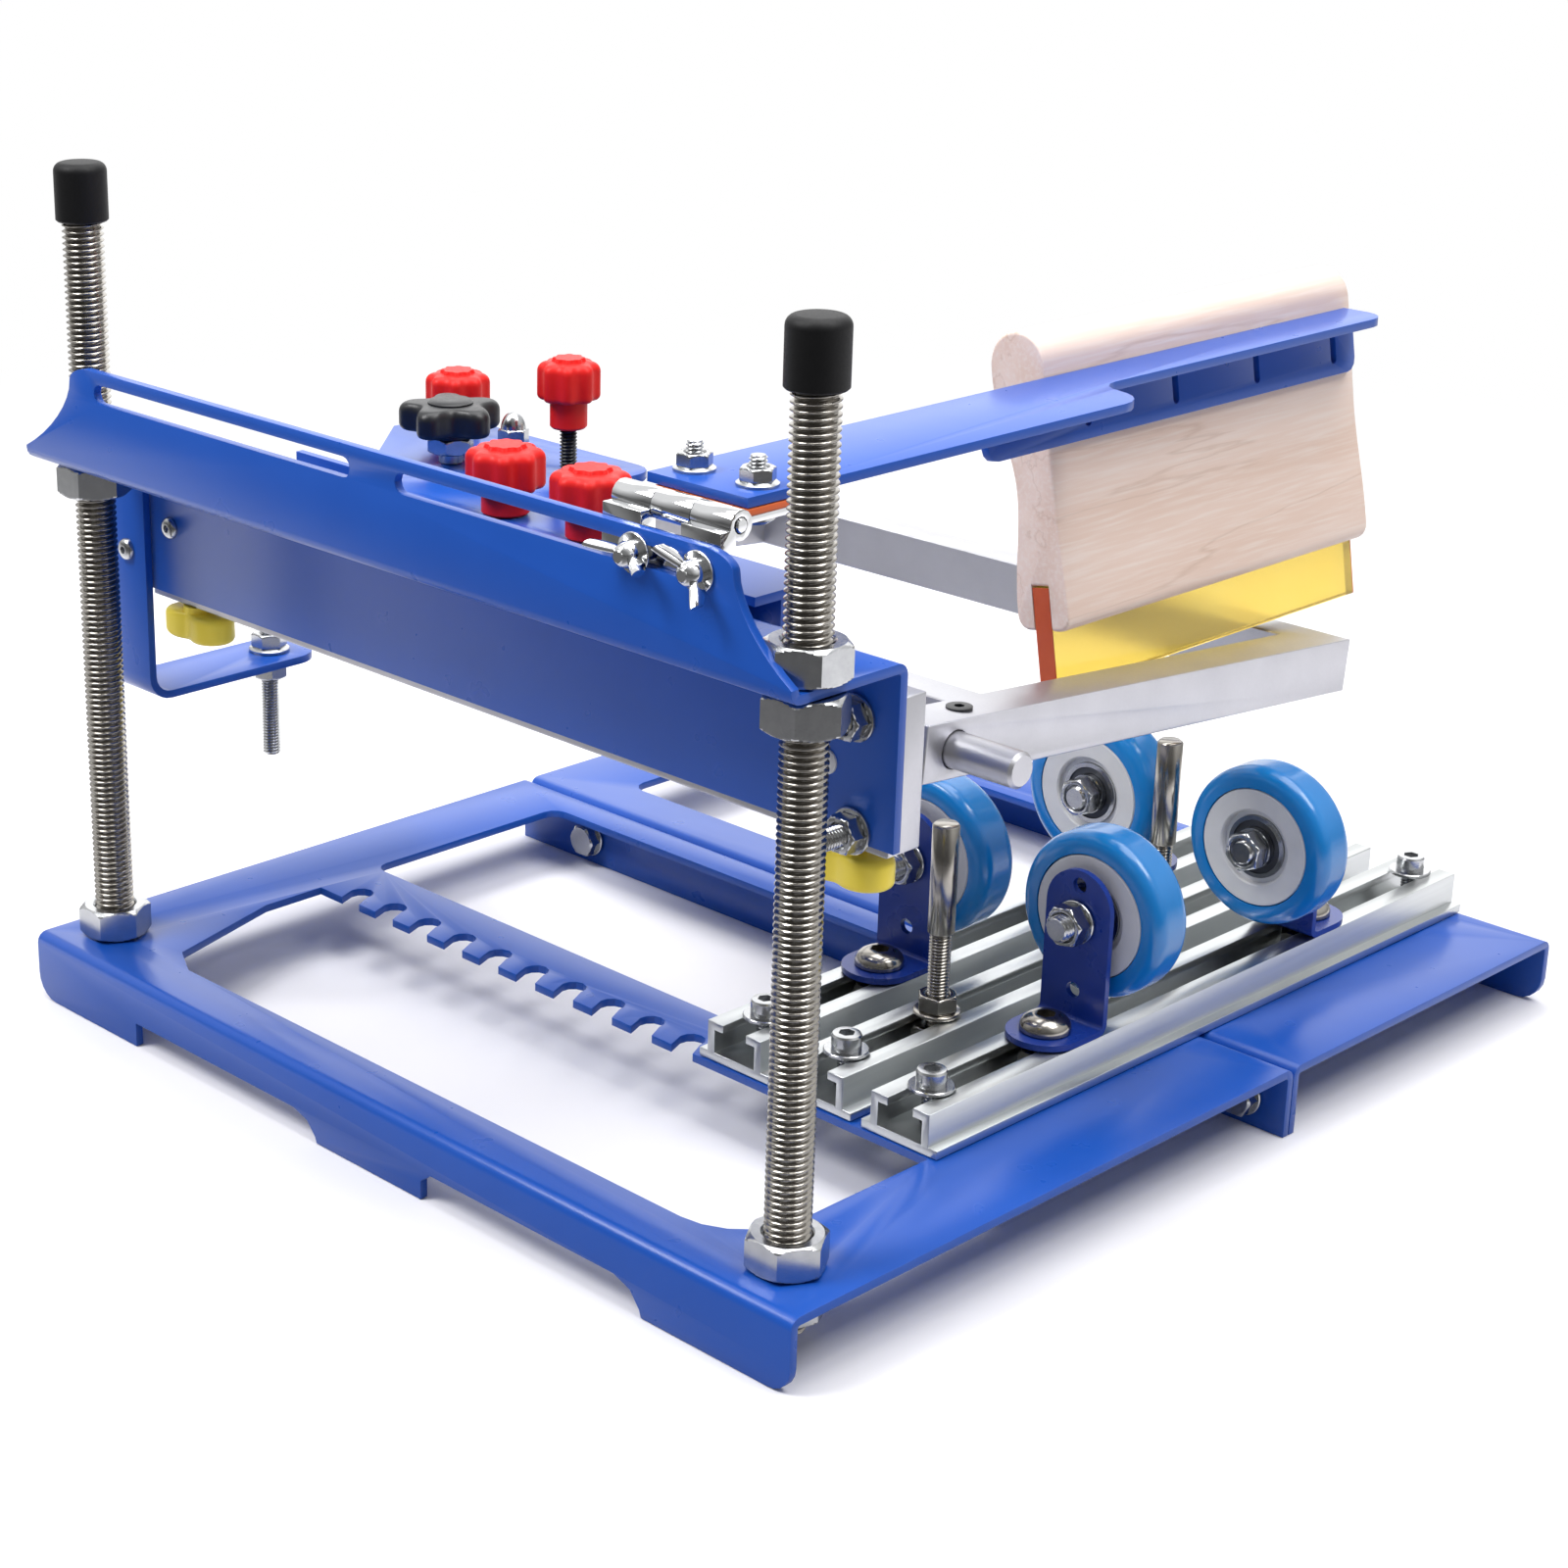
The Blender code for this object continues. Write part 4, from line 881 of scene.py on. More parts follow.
@dataclass
class Assembly:
    """A sub-assembly of the press, built around its CAD nodes."""

    nodes: dict[str, bpy.types.Object]

    def ease(self, finish: Finish, body: str, ease_mm: float, *names: str) -> None:
        """Dresses copies of CAD nodes with their edges rounded over, each standing for its node.

        Args:
            finish: The copies' finish.
            body: The CAD body that they move with.
            ease_mm: Width of the rounding.
            names: The CAD nodes.
        """
        for name in names:
            mesh = self.nodes[name].data.copy()
            work = bmesh.new()
            work.from_mesh(mesh)
            bmesh.ops.remove_doubles(work, verts=work.verts, dist=MERGE_MM * MM)
            flat = math.radians(FLAT_DEG)
            bmesh.ops.dissolve_limit(work, angle_limit=flat, verts=work.verts, edges=work.edges)
            work.to_mesh(mesh)
            work.free()
            holder = linked(f"{name}_blank", mesh)
            bevel = holder.modifiers.new("ease", "BEVEL")
            bevel.width = ease_mm * MM
            bevel.segments = 2
            bevel.limit_method = "ANGLE"
            bevel.angle_limit = math.radians(SHARP_DEG)
            rounded = applied(holder)
            bpy.data.objects.remove(holder)
            settle(f"{name}_dressed", rounded, finish, body, (name,))


@dataclass
class BaseFrame(Assembly):
    """Folded base sheets, their joint bolts, and the threaded posts with nuts and caps."""

    rod_pitch: float = 1.75
    nut_flats: float = 19.0
    # One nut stands a twelfth of a turn from the rest, as in the photograph.
    turned_nut: str = "bridge_nut_upper_right"
    turned_deg: float = 30.0
    cap_round: float = 2.6
    cap_roof: float = 5.0
    bolt_flats: float = 10.0
    bolt_head: float = 4.0

    def build(self) -> None:
        """Dresses the sheets and adds rods, nuts, caps and joint bolts."""
        self.ease(POWDER, "base", 0.6, "base_front_frame", "base_rear_frame")
        for side in ("left", "right"):
            self.post(side)
            self.joint_bolt(side)

    def post(self, side: str) -> None:
        """One threaded post with its vinyl cap and four nuts.

        Args:
            side: Which post.
        """
        low, high = span(f"post_{side}")
        x, y = (low[:2] + high[:2]) / 2
        radius = (high[0] - low[0]) / 2
        rod = thread(radius, self.rod_pitch, high[2] - low[2], 32, 8)
        piece(f"threaded_post_{side}", rod.placed((x, y, low[2])), ROD, "base", f"post_{side}", crease=60.0)
        low, high = span(f"post_cap_{side}")
        tall = high[2] - low[2]
        wide = (high[0] - low[0]) / 2
        bore = radius + 0.2
        skirt = [(bore, tall - self.cap_roof), (bore, 0.0), (wide - 0.5, 0.0), (wide, 0.5)]
        cup = lathe(skirt + shoulder(wide, tall, self.cap_round, 9) + [(1.0, tall)])
        piece(f"vinyl_cap_{side}", cup.placed((x, y, low[2])), RUBBER, "base", f"post_cap_{side}")
        for body in ("base", "bridge"):
            for level in ("upper", "lower"):
                node = f"{body}_nut_{level}_{side}"
                foot, head = span(node)
                turn = self.turned_deg if node == self.turned_nut else 0.0
                tall = head[2] - foot[2]
                shell = nut(self.nut_flats, tall, radius + 0.05).placed((x, y, foot[2]), turn=turn)
                piece(f"hex_nut_{body}_{level}_{side}", shell, ZINC, body, node, crease=25.0)

    def joint_bolt(self, side: str) -> None:
        """A bolt, a washer and a nut through the flanges that stand back to back.

        Args:
            side: Which end of the flanges.
        """
        node = f"joint_bolt_{side}"
        low, high = span(node)
        x, _, z = middle(node)
        seat = (x, low[1] + self.bolt_head, z)
        parts = [
            hex_bolt(self.bolt_flats, self.bolt_head, 2.9, high[1] - low[1] - 5.0).placed(seat, Way.FRONT),
            washer(3.1, 6.2, 1.0).placed(seat, Way.REAR),
            nut(self.bolt_flats, 4.6, 3.0).placed((x, high[1] - 4.8, z), Way.REAR),
        ]
        piece(f"flange_bolt_{side}", parts, ZINC, "base", node, crease=28.0)


@dataclass
class Bridge(Assembly):
    """Folded bridge, guide bar, stop bracket with its screw, wing knobs and web bolts."""

    wing_waist: float = 5.2
    wing_reach: float = 8.3
    collar_top: float = 12.0
    bolt_inset: float = 13.0

    def build(self) -> None:
        """Dresses the sheets and bar and adds their hardware."""
        self.ease(POWDER, "bridge", 0.5, "bridge_beam", "stop_bracket")
        self.ease(MILL, "bridge", 0.6, "guide_rail")
        self.stop_screw()
        for side in ("left", "right"):
            self.wing(side)
        self.web_bolts()
        self.small_screws()

    def stop_screw(self) -> None:
        """A threaded screw hanging in the tab between two flange nuts."""
        low, high = span("stop_screw")
        x, y, _ = middle("stop_screw")
        tab = span("stop_bracket")[0][2]
        clamp = flange_nut(10.0, 6.0, 2.6, 6.5)
        parts = [
            thread(2.95, 1.0, high[2] - low[2], 24, 6).placed((x, y, low[2])),
            clamp.placed((x, y, tab + SHEET + GAP)),
            clamp.placed((x, y, tab - GAP), Way.DOWN),
        ]
        piece("stop_screw_and_nuts", parts, ZINC, "stop_screw", "stop_screw", crease=50.0)

    def wing(self, side: str) -> None:
        """A two-lobed knob: radius grows with the squared cosine of the turn, with rounded rims.

        Args:
            side: Which end of the bridge.
        """
        node = f"wing_knob_{side}"
        low, high = span(node)
        x, y, _ = middle(node)
        foot = low[2]
        shape = self.wing_waist + self.wing_reach * np.abs(np.cos(around(96))) ** 2.2
        edge = quarter(6)
        grow = np.concatenate([0.80 + 0.20 * np.sin(edge), 0.82 + 0.18 * np.cos(edge)])
        level = np.concatenate([1.6 + 2.0 * (1 - np.cos(edge)), 8.0 + 2.0 * np.sin(edge)])
        grip = Shell.grid(rows_round(grow[:, None] * shape[None, :], level))
        collar = lathe([(4.9, 9.0), (4.9, self.collar_top)], 40)
        knob = Shell.joined([grip, collar]).placed((x, y, foot))
        piece(f"wing_grip_{side}", knob, YELLOW, f"wing_{side}", node)
        start = foot + self.collar_top - 0.5
        stud = thread(2.45, 0.9, high[2] - start).placed((x, y, start))
        piece(f"wing_stud_{side}", stud, ZINC, f"wing_{side}", crease=60.0)

    def web_bolts(self) -> None:
        """Bolts that hold the guide bar to the web, with washers and nuts on the web's front."""
        low, high = span("guide_rail")
        web = low[1] - GAP - SHEET
        x = span("bridge_beam")[1][0] - self.bolt_inset
        for name, z in (("upper", high[2] - 5.5), ("lower", low[2] + 5.7)):
            parts = [
                washer(3.0, 6.0, 1.2).placed((x, web, z), Way.FRONT),
                nut(9.0, 4.4, 2.8).placed((x, web - 1.2, z), Way.FRONT),
                thread(2.8, 1.0, 13.5).placed((x, web + 1.0, z), Way.FRONT),
            ]
            piece(f"web_bolt_{name}", parts, ZINC, "bridge", crease=40.0)

    def small_screws(self) -> None:
        """A pale plug beside the web bolts, and a pan screw on the web and on the stop bracket."""
        low, high = span("guide_rail")
        web = low[1] - GAP - SHEET
        at = (span("bridge_beam")[1][0] - 22.0, web, low[2] + 21.0)
        plug = lathe([(3.2, 0.0), (3.2, 0.5), (2.6, 0.9), (0.8, 1.0)], 40)
        piece("web_plug", plug.placed(at, Way.FRONT), CORE, "bridge")
        left, right = span("stop_bracket")
        pan = socket_head([(3.4, 0.0), (3.4, 0.7), (2.9, 1.5), (2.0, 1.9)], 2.2, 1.0)
        for name, at in (
            ("web", (right[0] + 10.0, web, high[2] - 16.0)),
            ("bracket", ((left[0] + right[0]) / 2 + 3.0, left[1], high[2] - 26.0)),
        ):
            piece(f"pan_screw_{name}", pan.placed(at, Way.FRONT), ZINC, "bridge")


@dataclass
class Carriage(Assembly):
    """Carriage plate on the guide bar, its clamp knobs, pivot shaft and the tilting screen frame."""

    grips: dict[str, float] = field(default_factory=lambda: {"a": 9.5, "b": 8.9, "c": 10.8, "d": 10.8})
    grip_tall: float = 12.0
    red_neck: float = 6.6
    high_neck: float = 5.3
    neck_tall: float = 8.0
    star: float = 15.0
    star_tall: float = 9.0
    stud: float = 2.5
    shaft_ease: float = 0.9

    def build(self) -> None:
        """Dresses the plate, shaft and frame, and adds knobs, the dome nut and set screws."""
        self.ease(POWDER, "carriage", 0.5, "carriage")
        self.ease(MILL, "screen", 0.8, "screen_frame")
        self.shaft()
        for letter in self.grips:
            self.red_knob(letter)
        self.star_knob()
        self.dome()
        self.set_screws()

    def shaft(self) -> None:
        """The pivot shaft, a plain bar with chamfered ends."""
        low, high = span("pivot_shaft")
        _, y, z = middle("pivot_shaft")
        radius = (high[1] - low[1]) / 2
        length = high[0] - low[0]
        ease = self.shaft_ease
        bar = lathe([(radius - ease, 0), (radius, ease), (radius, length - ease), (radius - ease, length)])
        piece("pivot_bar", bar.placed((low[0], y, z), Way.RIGHT), MILL, "carriage", "pivot_shaft")

    def red_knob(self, letter: str) -> None:
        """A scalloped red head on a plain neck, over a black stud where it stands high.

        Args:
            letter: Which knob.
        """
        node = f"knob_red_{letter}"
        low, high = span(node)
        x, y, _ = middle(node)
        radius = self.grips[letter]
        plate = span("carriage")[1][2]
        top = high[2]
        head = top - self.grip_tall
        dish = [(radius * 0.55, top - 1.0), (radius * 0.5, top), (radius * 0.1, top)]
        grip = lobed(heel(radius, head, 1.6) + shoulder(radius, top - 1.2, 2.6) + dish, 8, 0.14)
        high_stud = head - plate > self.grip_tall
        neck_low = head - self.neck_tall if high_stud else plate + GAP
        girth = self.high_neck if high_stud else self.red_neck
        neck = lathe([(girth - 0.6, neck_low), (girth, neck_low + 0.6), (girth, head + 1.0)])
        knob = Shell.joined([grip, neck]).placed((x, y, 0.0))
        piece(f"red_knob_{letter}", knob, RED, f"knob_{letter}", node)
        rod = thread(self.stud, 1.0, neck_low + 1.0 - low[2], 22, 6).placed((x, y, low[2]))
        finish = BLACK if high_stud else ZINC
        piece(f"red_knob_stud_{letter}", rod, finish, f"knob_{letter}", crease=60.0)

    def star_knob(self) -> None:
        """A black five-lobed star on a bright spacer."""
        low, high = span("knob_black")
        x, y, _ = middle("knob_black")
        plate = span("carriage")[1][2]
        top = high[2]
        head = top - self.star_tall
        outline = heel(self.star, head, 1.8) + shoulder(self.star, top - 1.0, 3.0)
        grip = lobed(outline + [(self.star * 0.45, top - 1.0)], 5, 0.34)
        hub = lathe([(6.5, head - 1.5), (6.5, top - 0.6), (5.6, top), (2.0, top)])
        piece("star_knob", Shell.joined([grip, hub]).placed((x, y, 0)), BLACK, "knob_star", "knob_black")
        lock = nut(12.0, 4.6, 2.4).placed((0, 0, head - 6.2), turn=8.0)
        sleeve = lathe([(3.4, plate + GAP), (3.4, head - 5.0)], 40)
        rod = thread(self.stud, 1.0, plate + 1.0 - low[2], 22, 6).placed((0, 0, low[2]))
        spacer = Shell.joined([lock, sleeve, rod]).placed((x, y, 0))
        piece("star_spacer", spacer, ZINC, "knob_star", crease=45.0)

    def dome(self) -> None:
        """A tall dome nut on the carriage, behind the star and beside the rear knob."""
        at = (middle("knob_black")[0], middle("knob_red_a")[1], span("carriage")[1][2])
        shell = Shell.joined([washer(2.6, 5.6, 1.2), dome_nut(8.0, 9.8).placed((0, 0, 1.2))])
        piece("dome_nut", shell.placed(at), ZINC, "carriage", crease=30.0)

    def set_screws(self) -> None:
        """A sunk set screw in the top of each frame arm, over the shaft."""
        low, high = span("screen_frame")
        _, y, z = middle("pivot_shaft")
        head = socket_head([(3.6, 0.0), (3.6, 0.9), (3.2, 1.0)], 2.6, 0.8)
        for name, x in (("left", low[0] + 7.5), ("right", high[0] - 7.5)):
            piece(f"arm_set_screw_{name}", head.placed((x, y + 9.7, z + 7.0)), BLACK, "screen")


@dataclass
class Squeegee(Assembly):
    """Hinge, swinging arm with its bolts and shim, wood handle and amber blade."""

    tilt_deg: float = 10.3
    end_ease: float = 1.2
    slack: float = 0.35
    bulb: float = 9.25
    bulb_drop: float = -3.5
    heel_round: float = 3.5
    toe_round: float = 4.0
    belly_top: float = 30.0
    foot: float = 71.0
    slot_top: float = 58.3
    tip: float = 88.6
    slot_below: float = 6.25

    def build(self) -> None:
        """Dresses the arm and hinge and builds the handle, blade and fasteners."""
        self.ease(POWDER, "squeegee", 0.45, "squeegee_arm")
        self.ease(CHROME, "bridge", 0.3, "hinge_leaf")
        self.ease(CHROME, "squeegee", 0.3, "hinge_leaf_moving")
        self.ease(PAD, "squeegee", 0.3, "arm_pad")
        self.pin()
        self.handle()
        self.blade()
        self.arm_bolts()
        self.wing_bolts()

    def pin(self) -> None:
        """The hinge pin with a rounded head at each end."""
        low, high = span("hinge_pin")
        _, y, z = middle("hinge_pin")
        radius = (high[1] - low[1]) / 2
        length = high[0] - low[0]
        start = [(0.6, 0.0), (radius - 0.3, 0.15), (radius, 0.5)]
        rod = lathe(start + [(r, length - along) for r, along in reversed(start)], 32)
        piece("hinge_rod", rod.placed((low[0], y, z), Way.RIGHT), CHROME, "bridge", "hinge_pin")

    def lean(self, section: np.ndarray, levels: np.ndarray, inset: np.ndarray) -> Shell:
        """A leaning bar along Y: a section drawn from the arm's edge, drawn in a little at both ends.

        Args:
            section: Side and drop pairs, side to the left and drop down the lean.
            levels: Y of each row.
            inset: How far each row is drawn in toward the section's middle.

        Returns:
            The capped bar.
        """
        tilt = math.radians(self.tilt_deg)
        arm_low, arm_high = span("squeegee_arm")
        centre = (section.min(0) + section.max(0)) / 2
        reach = np.linalg.norm(section - centre, axis=1, keepdims=True)
        scaled = section[None] - (section - centre)[None] / reach[None] * inset[:, None, None]
        side, drop = scaled[..., 0], scaled[..., 1]
        x = arm_low[0] + drop * math.sin(tilt) - side * math.cos(tilt)
        z = arm_high[2] - drop * math.cos(tilt) - side * math.sin(tilt)
        y = np.repeat(levels[:, None], section.shape[0], 1)
        return Shell.grid(np.stack([x, y, z], -1))

    def handle(self) -> None:
        """A wood handle: a round bulb, a back that waists and swells as a fading cosine, and a front belly.

        Its rows run along Y, and both ends are eased by a quarter round.
        """
        edge, foot = self.slack, self.foot
        turn = np.radians(np.linspace(180.0, 360.0, 30))
        bulb_x = edge + self.bulb * (1 + np.cos(turn))
        bulb = np.column_stack([bulb_x, self.bulb_drop + self.bulb * np.sin(turn)])
        drop = np.linspace(0.0, foot - 8.0, 30)
        back = np.column_stack([edge + 15.6 + 3.0 * (1 - drop / 110) * np.cos(np.pi * drop / 36), drop])
        bend, heel_r, toe_r = quarter(7), self.heel_round, self.toe_round
        heel_x = back[-1, 0] - heel_r + heel_r * np.cos(bend)
        end = np.column_stack([heel_x, foot - heel_r + heel_r * np.sin(bend)])
        slot = np.array([(11.2, foot), (11.2, self.slot_top), (4.8, self.slot_top), (4.8, foot)])
        toe = np.column_stack([edge + 2.5 - toe_r * np.sin(bend), foot - toe_r + toe_r * np.cos(bend)])
        fall = np.linspace(foot - 6.0, self.belly_top, 16)
        swell = 1 - np.cos(np.pi * (fall - self.belly_top) / (foot - 6.0 - self.belly_top))
        belly = np.column_stack([edge - 0.75 * swell, fall])
        low, high = span("squeegee_handle")
        arc = quarter(5)
        start = low[1] + self.end_ease * (1 - np.cos(arc))
        stop = high[1] - self.end_ease * (1 - np.cos(arc[::-1]))
        inner = np.linspace(start[-1], stop[0], 10)[1:-1]
        inset = self.end_ease * (1 - np.sin(arc))
        rows = np.concatenate([start, inner, stop])
        drawn = np.concatenate([inset, 0 * inner, inset[::-1]])
        shell = self.lean(np.concatenate([bulb, back, end, slot, toe, belly]), rows, drawn)
        piece("wood_handle", shell, WOOD, "squeegee", "squeegee_handle")

    def blade(self) -> None:
        """The amber blade in the handle's slot, with the darker cut face at each end."""
        top, tip = self.slot_top + 0.4, self.tip
        eased = tip - 0.4
        section = np.array([(5.2, top), (10.8, top), (10.8, eased), (10.5, tip), (5.5, tip), (5.2, eased)])
        low, high = span("squeegee_blade")
        zero = np.zeros(2)
        body = self.lean(section, np.array([low[1] + 0.5, high[1] - 0.5]), zero)
        piece("amber_blade", body, BLADE, "squeegee", "squeegee_blade")
        for name, start in (("front", low[1] + 0.05), ("rear", high[1] - 0.45)):
            end = self.lean(section, np.array([start, start + 0.4]), zero)
            piece(f"blade_end_{name}", end, BLADE_END, "squeegee")

    def arm_bolts(self) -> None:
        """Two bolts with flange nuts that clamp the arm, shim and hinge leaf."""
        low, high = span("squeegee_arm")
        leaf = span("hinge_leaf_moving")[0][2]
        for name, dx, dy in (("left", 7.0, 9.5), ("right", 27.0, 10.5)):
            x, y = low[0] + dx, low[1] + dy
            parts = [
                flange_nut(8.0, 4.6, 2.2, 5.3).placed((x, y, high[2])),
                thread(2.3, 0.9, high[2] + 7.4 - leaf, 20, 6).placed((x, y, leaf)),
                lathe([(4.4, 0.0), (4.4, 1.2), (2.6, 2.4)], 36).placed((x, y, leaf), Way.DOWN),
            ]
            piece(f"arm_bolt_{name}", parts, ZINC, "squeegee", crease=45.0)

    def wing_bolts(self) -> None:
        """Wing nuts on bolts through the front wall's slot, which hold the hinge's fixed leaf."""
        leaf = span("hinge_leaf")[0]
        wall_low, wall_high = span("bridge_beam")
        wall, slot = wall_low[1], wall_high[2] - self.slot_below
        for name, dx, turn in (("left", 14.0, -13.0), ("right", 35.0, -42.0)):
            x = leaf[0] + dx
            parts = [
                washer(2.5, 5.2, 0.8).placed((x, wall, slot), Way.FRONT),
                wing_nut(3.3, 4.6, 7.0).placed((x, wall - 0.8, slot), Way.FRONT, turn),
                thread(2.0, 0.9, 6.6, 20, 6).placed((x, wall + 1.0, slot), Way.FRONT),
                lathe([(4.2, 0.0), (4.2, 1.0), (2.4, 2.2)], 36).placed((x, leaf[1] + 1.8, slot), Way.REAR),
            ]
            piece(f"hinge_wing_bolt_{name}", parts, CHROME, "bridge", crease=45.0)


@dataclass
class RailBed(Assembly):
    """Slotted rails with their screws, and the stop bolts that slide in the middle one."""

    sleeve: float = 33.0
    washer_thick: float = 1.2

    def build(self) -> None:
        """Dresses the rails and builds every screw and bolt on them."""
        for label in ("left", "center", "right"):
            self.ease(EXTRUSION, "base", 0.3, f"rail_{label}")
            for place in ("front", "rear"):
                self.rail_screw(f"rail_screw_{place}_{label}", span(f"rail_{label}")[1][2] + GAP)
        for place in ("front", "rear"):
            self.stop_bolt(place)

    def rail_screw(self, node: str, seat: float) -> None:
        """A socket cap screw with a washer on the rail and a nut under the sheet.

        Args:
            node: The screw's CAD node.
            seat: Height of the washer's underside.
        """
        foot = span(node)[0][2]
        x, y, _ = middle(node)
        cap = [(4.2, 0.0), (4.25, 0.3), (4.25, 3.9), (3.9, 4.5), (3.4, 4.6)]
        parts = [
            washer(2.6, 6.4, self.washer_thick).placed((x, y, seat)),
            socket_head(cap, 4.2, 2.6).placed((x, y, seat + self.washer_thick)),
            thread(2.45, 0.9, seat - foot).placed((x, y, foot)),
            nut(8.0, 4.0, 2.4).placed((x, y, foot + 2.0)),
        ]
        piece(f"{node}_set", parts, ZINC, "base", node, crease=30.0)

    def stop_bolt(self, place: str) -> None:
        """An upright stop: a plain sleeve on a thinner thread, a lock nut on the rail and a nut in its slot.

        Args:
            place: Which of the two stops.
        """
        node = f"stop_bolt_{place}"
        low, high = span(node)
        x, y, _ = middle(node)
        foot, top = low[2], high[2]
        seat = span("rail_center")[1][2] + GAP
        sleeve = top - self.sleeve
        shank = [(3.2, sleeve), (3.85, sleeve + 0.6), (3.85, top - 0.7), (3.1, top)]
        parts = [
            nut(13.0, seat - LIP - 2 * GAP - foot, 3.1).placed((x, y, foot)),
            thread(3.15, 1.0, sleeve - foot - 1.5, 26, 7).placed((x, y, foot + 2.0)),
            lathe(shank, 48).placed((x, y, 0.0)),
            washer(3.2, 6.8, self.washer_thick).placed((x, y, seat)),
            nut(10.5, 5.0, 3.1).placed((x, y, seat + self.washer_thick), turn=12.0),
        ]
        piece(f"stop_bolt_{place}_set", parts, ROD, f"stop_{place}", node, crease=55.0)


@dataclass
class Roller:
    """A castor wheel on a folded bracket that slides along an outer rail.

    Its way is 1 where the wheel stands behind the bracket's upright and -1 where it stands in front.
    Its hub is where the axle meets the upright's outer face.
    """

    tag: str
    half_width: float = 11.0
    foot: float = 22.0
    bend: float = 3.5
    rim_ease: float = 0.35
    spacer: float = 2.0
    hole: float = 2.3
    holes_from_axle: tuple[float, float] = (10.6, -20.6)
    crown: float = 4.2
    axle_nut_flats: float = 10.8
    axle_past: float = 9.2
    screw_from_face: float = 11.0
    way: float = field(init=False)
    hub: np.ndarray = field(init=False)

    def __post_init__(self) -> None:
        """Reads the unit's way and hub from its tyre."""
        self.way = 1.0 if self.tag.startswith("front") else -1.0
        low, high = span(f"roller_tyre_{self.tag}")
        core = (low[1] if self.way > 0 else high[1]) - self.way * 0.6
        self.hub = middle(f"roller_tyre_{self.tag}")
        self.hub[1] = core - self.way * (self.spacer + SHEET)

    def build(self) -> None:
        """Builds the wheel, the bracket, the axle and the foot screw."""
        self.wheel()
        self.bracket()
        self.axle()
        self.foot_screw()

    def wheel(self) -> None:
        """A crowned tyre on a dished core with a shielded bearing on each face."""
        tag, body = self.tag, f"wheel_{self.tag}"
        centre = middle(f"roller_tyre_{tag}")
        low, high = span(f"roller_tyre_{tag}")
        radius = (high[2] - low[2]) / 2
        half = (high[1] - low[1]) / 2
        core_low, core_high = span(f"roller_core_{tag}")
        inner = (core_high[2] - core_low[2]) / 2
        core_half = (core_high[1] - core_low[1]) / 2
        across = np.linspace(-half, half, 25)
        fall = np.clip((np.abs(across) - half * 0.45) / (half * 0.55), 0.0, 1.0)
        crown = radius - self.crown * (1 - np.sqrt(np.clip(1 - fall ** 2 * 0.98, 0.0, 1.0)))
        tread = lathe(list(zip(crown, across)) + [(inner + GAP, half), (inner + GAP, -half)], 96, True)
        piece(f"tyre_{tag}", tread.placed(centre, Way.REAR), TYRE, body, f"roller_tyre_{tag}")
        rim = core_half - 0.6
        dish = [(9.6, rim - 1.8), (11.0, rim - 1.8), (11.3, rim - 0.4), (11.8, rim)]
        dish += [(inner - GAP, rim), (inner, rim - GAP)]
        core = lathe(dish + [(r, -y) for r, y in reversed(dish)], 80, True)
        piece(f"core_{tag}", core.placed(centre, Way.REAR), CORE, body, f"roller_core_{tag}")
        races: list[Shell] = []
        seals: list[Shell] = []
        for side in (-1.0, 1.0):
            face, out, back = side * core_half, side * (core_half - 1.6), side * (core_half - 6.0)
            sunk = out - side * 0.5
            races.append(lathe([(8.2, out), (9.5, out), (9.5, back), (8.2, back)], 64, True))
            races.append(lathe([(4.4, face), (6.1, face), (6.1, back), (4.4, back)], 48, True))
            seals.append(lathe([(6.2, sunk), (8.1, sunk), (8.1, back), (6.2, back)], 48, True))
        piece(f"bearing_{tag}", Shell.joined(races).placed(centre, Way.REAR), ZINC, body)
        piece(f"bearing_seal_{tag}", Shell.joined(seals).placed(centre, Way.REAR), SEAL, body)

    def bracket(self) -> None:
        """A folded plate with round ends and two holes.

        A rectangle is carried along the foot, round the bend and up.
        """
        tag, way = self.tag, self.way
        x, face, axle = self.hub
        floor = span("rail_left")[1][2] + GAP
        rise = span(f"roller_bracket_{tag}")[1][2] - floor
        mid = SHEET / 2
        end = np.linspace(0.12, np.pi / 2, 9)
        tip = self.half_width * (1 - np.cos(end))
        turn = quarter(7)
        radius = self.bend - mid
        corner = self.foot + SHEET - self.bend
        foot_run = np.column_stack([tip, np.full(9, mid)])
        fold = np.column_stack([corner + radius * np.sin(turn), self.bend - radius * np.cos(turn)])
        climb = np.column_stack([np.full(9, corner + radius), rise - tip[::-1]])
        path = np.concatenate([foot_run, fold, climb])
        round_end = self.half_width * np.sin(end)
        half = np.concatenate([round_end, np.full(7, self.half_width), round_end[::-1]])
        lean = np.concatenate([np.full(9, 0.0), turn, np.full(9, np.pi / 2)])[:, None]
        across = np.array([-1.0, 1.0, 1.0, -1.0])
        depth = np.array([-1.0, -1.0, 1.0, 1.0]) * (mid - self.rim_ease)
        out = path[:, :1] - np.sin(lean) * depth
        up = path[:, 1:] + np.cos(lean) * depth
        points = np.stack([x + half[:, None] * across, face - way * self.foot + way * out, floor + up], -1)
        name = f"folded_bracket_{tag}"
        holder = linked(f"{name}_blank", turned_out(Shell.grid(points).mesh(f"{name}_blank")))
        for above in self.holes_from_axle:
            self.pierce(holder, (x, face - way * 6.0, axle + above), Way.REAR if way > 0 else Way.FRONT)
        mesh = applied(holder)
        bpy.data.objects.remove(holder)
        # The bracket's darker blue is painted shade.
        settle(name, mesh, BRACKET_COAT_PAINTED_SHADE, f"bracket_{tag}", (f"roller_bracket_{tag}",))

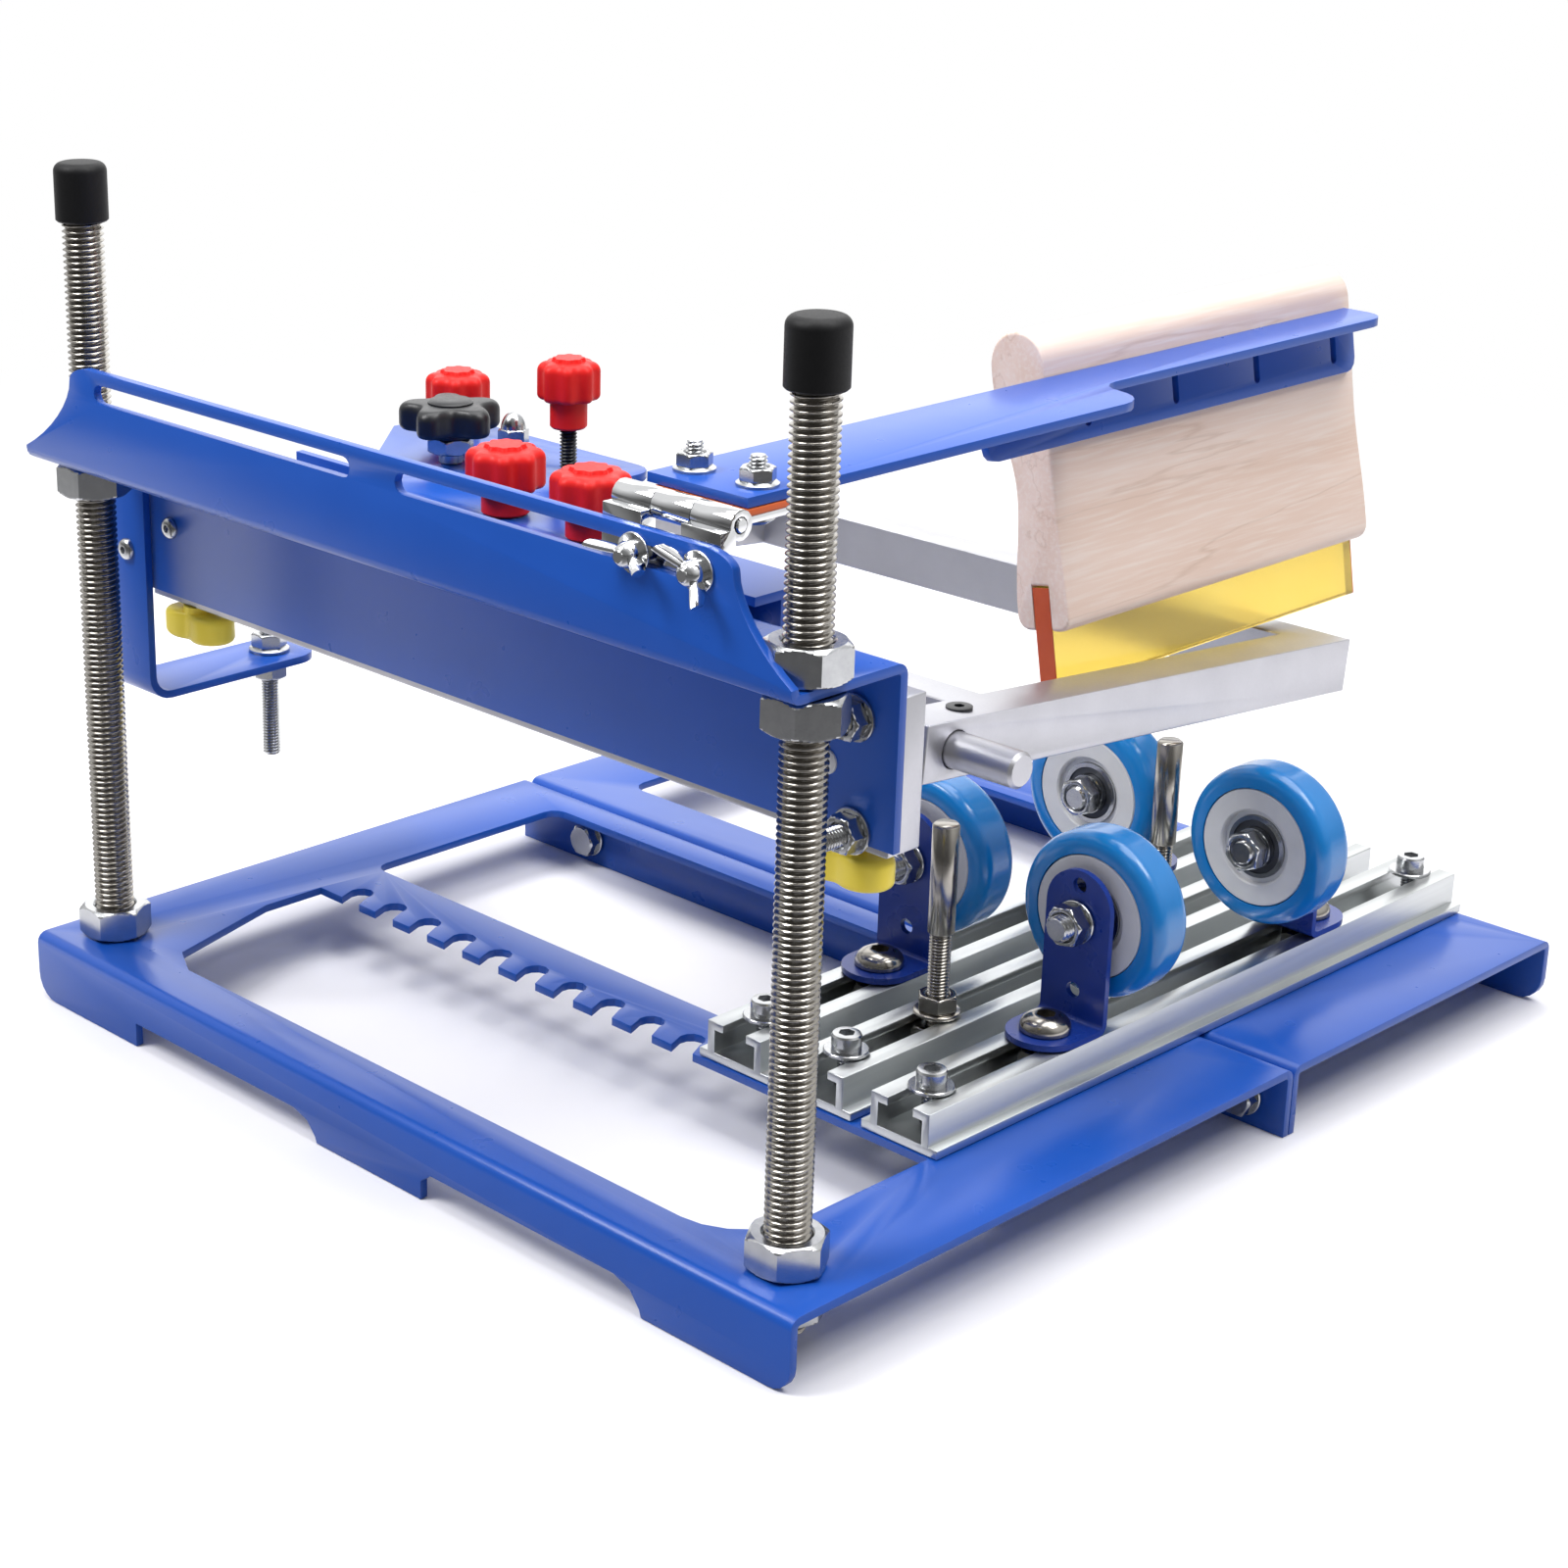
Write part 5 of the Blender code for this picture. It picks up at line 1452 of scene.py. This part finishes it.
    def pierce(self, holder: bpy.types.Object, at: Sequence[float], way: Way) -> None:
        """Cuts one round hole through a helper and applies the cut.

        Args:
            holder: The helper.
            at: Where the drill starts.
            way: Where the drill points.
        """
        bit = lathe([(self.hole, 0.0), (self.hole, 14.0)], 28).placed(at, way)
        drill = linked("drill", turned_out(bit.mesh("drill")))
        cut = holder.modifiers.new("hole", "BOOLEAN")
        cut.object = drill
        cut.solver = "EXACT"
        mesh = applied(holder)
        holder.modifiers.clear()
        holder.data = mesh
        bpy.data.objects.remove(drill)

    def axle(self) -> None:
        """The axle bolt with its nuts, washer and spacer."""
        tag, way = self.tag, self.way
        x, face, z = self.hub
        inward, outward = (Way.REAR, Way.FRONT) if way > 0 else (Way.FRONT, Way.REAR)
        core_low, core_high = span(f"roller_core_{tag}")
        far = core_high[1] if way > 0 else core_low[1]
        lock = nut(self.axle_nut_flats, 5.2, 3.8)
        spacer = lathe([(4.0, 0.0), (6.4, 0.0), (6.4, 1.7), (4.0, 1.7)], 48, True)
        start = (x, face - way * self.axle_past, z)
        axle = [
            washer(4.0, 6.4, 1.2).placed((x, face, z), outward),
            lock.placed((x, face - way * 1.2, z), outward, 10.0),
            thread(3.85, 1.25, abs(far - face) + 15.0, 26, 6).placed(start, inward),
            spacer.placed((x, face + way * SHEET, z), inward),
            lock.placed((x, far + way * GAP, z), inward, 22.0),
        ]
        piece(f"axle_{tag}", axle, ZINC, f"bracket_{tag}", crease=45.0)

    def foot_screw(self) -> None:
        """The button screw that clamps the bracket's foot, with its nut in the rail's slot."""
        rail_top = span("rail_left")[1][2]
        foot_top = rail_top + GAP + SHEET
        edge = np.linspace(0, np.pi / 2 * 0.72, 10)
        button = [(7.2, 0.0), *zip(7.2 * np.cos(edge) ** 0.8, 0.8 + 4.2 * np.sin(edge))]
        x, y = self.hub[0], self.hub[1] - self.way * self.screw_from_face
        tee = span(f"roller_bracket_{self.tag}")[0][2]
        screw = [
            socket_head(button, 5.0, 3.2).placed((x, y, foot_top)),
            lathe([(3.8, tee), (3.8, foot_top + 0.5)], 32).placed((x, y, 0.0)),
            nut(13.0, rail_top - LIP - GAP - tee, 3.6).placed((x, y, tee)),
        ]
        piece(f"foot_screw_{self.tag}", screw, ROD, f"bracket_{self.tag}", crease=40.0)


def main() -> None:
    """Loads the frame, dresses every sub-assembly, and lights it."""
    logging.basicConfig(level=logging.INFO, format="%(name)s %(message)s")
    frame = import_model()
    nodes = frame["nodes"]
    for assembly in (BaseFrame, Bridge, Carriage, Squeegee, RailBed):
        assembly(nodes).build()
    for tag in ("front_left", "front_right", "rear_left", "rear_right"):
        Roller(tag).build()
    Floor().build()
    Studio().build()


if __name__ == "__main__":
    main()
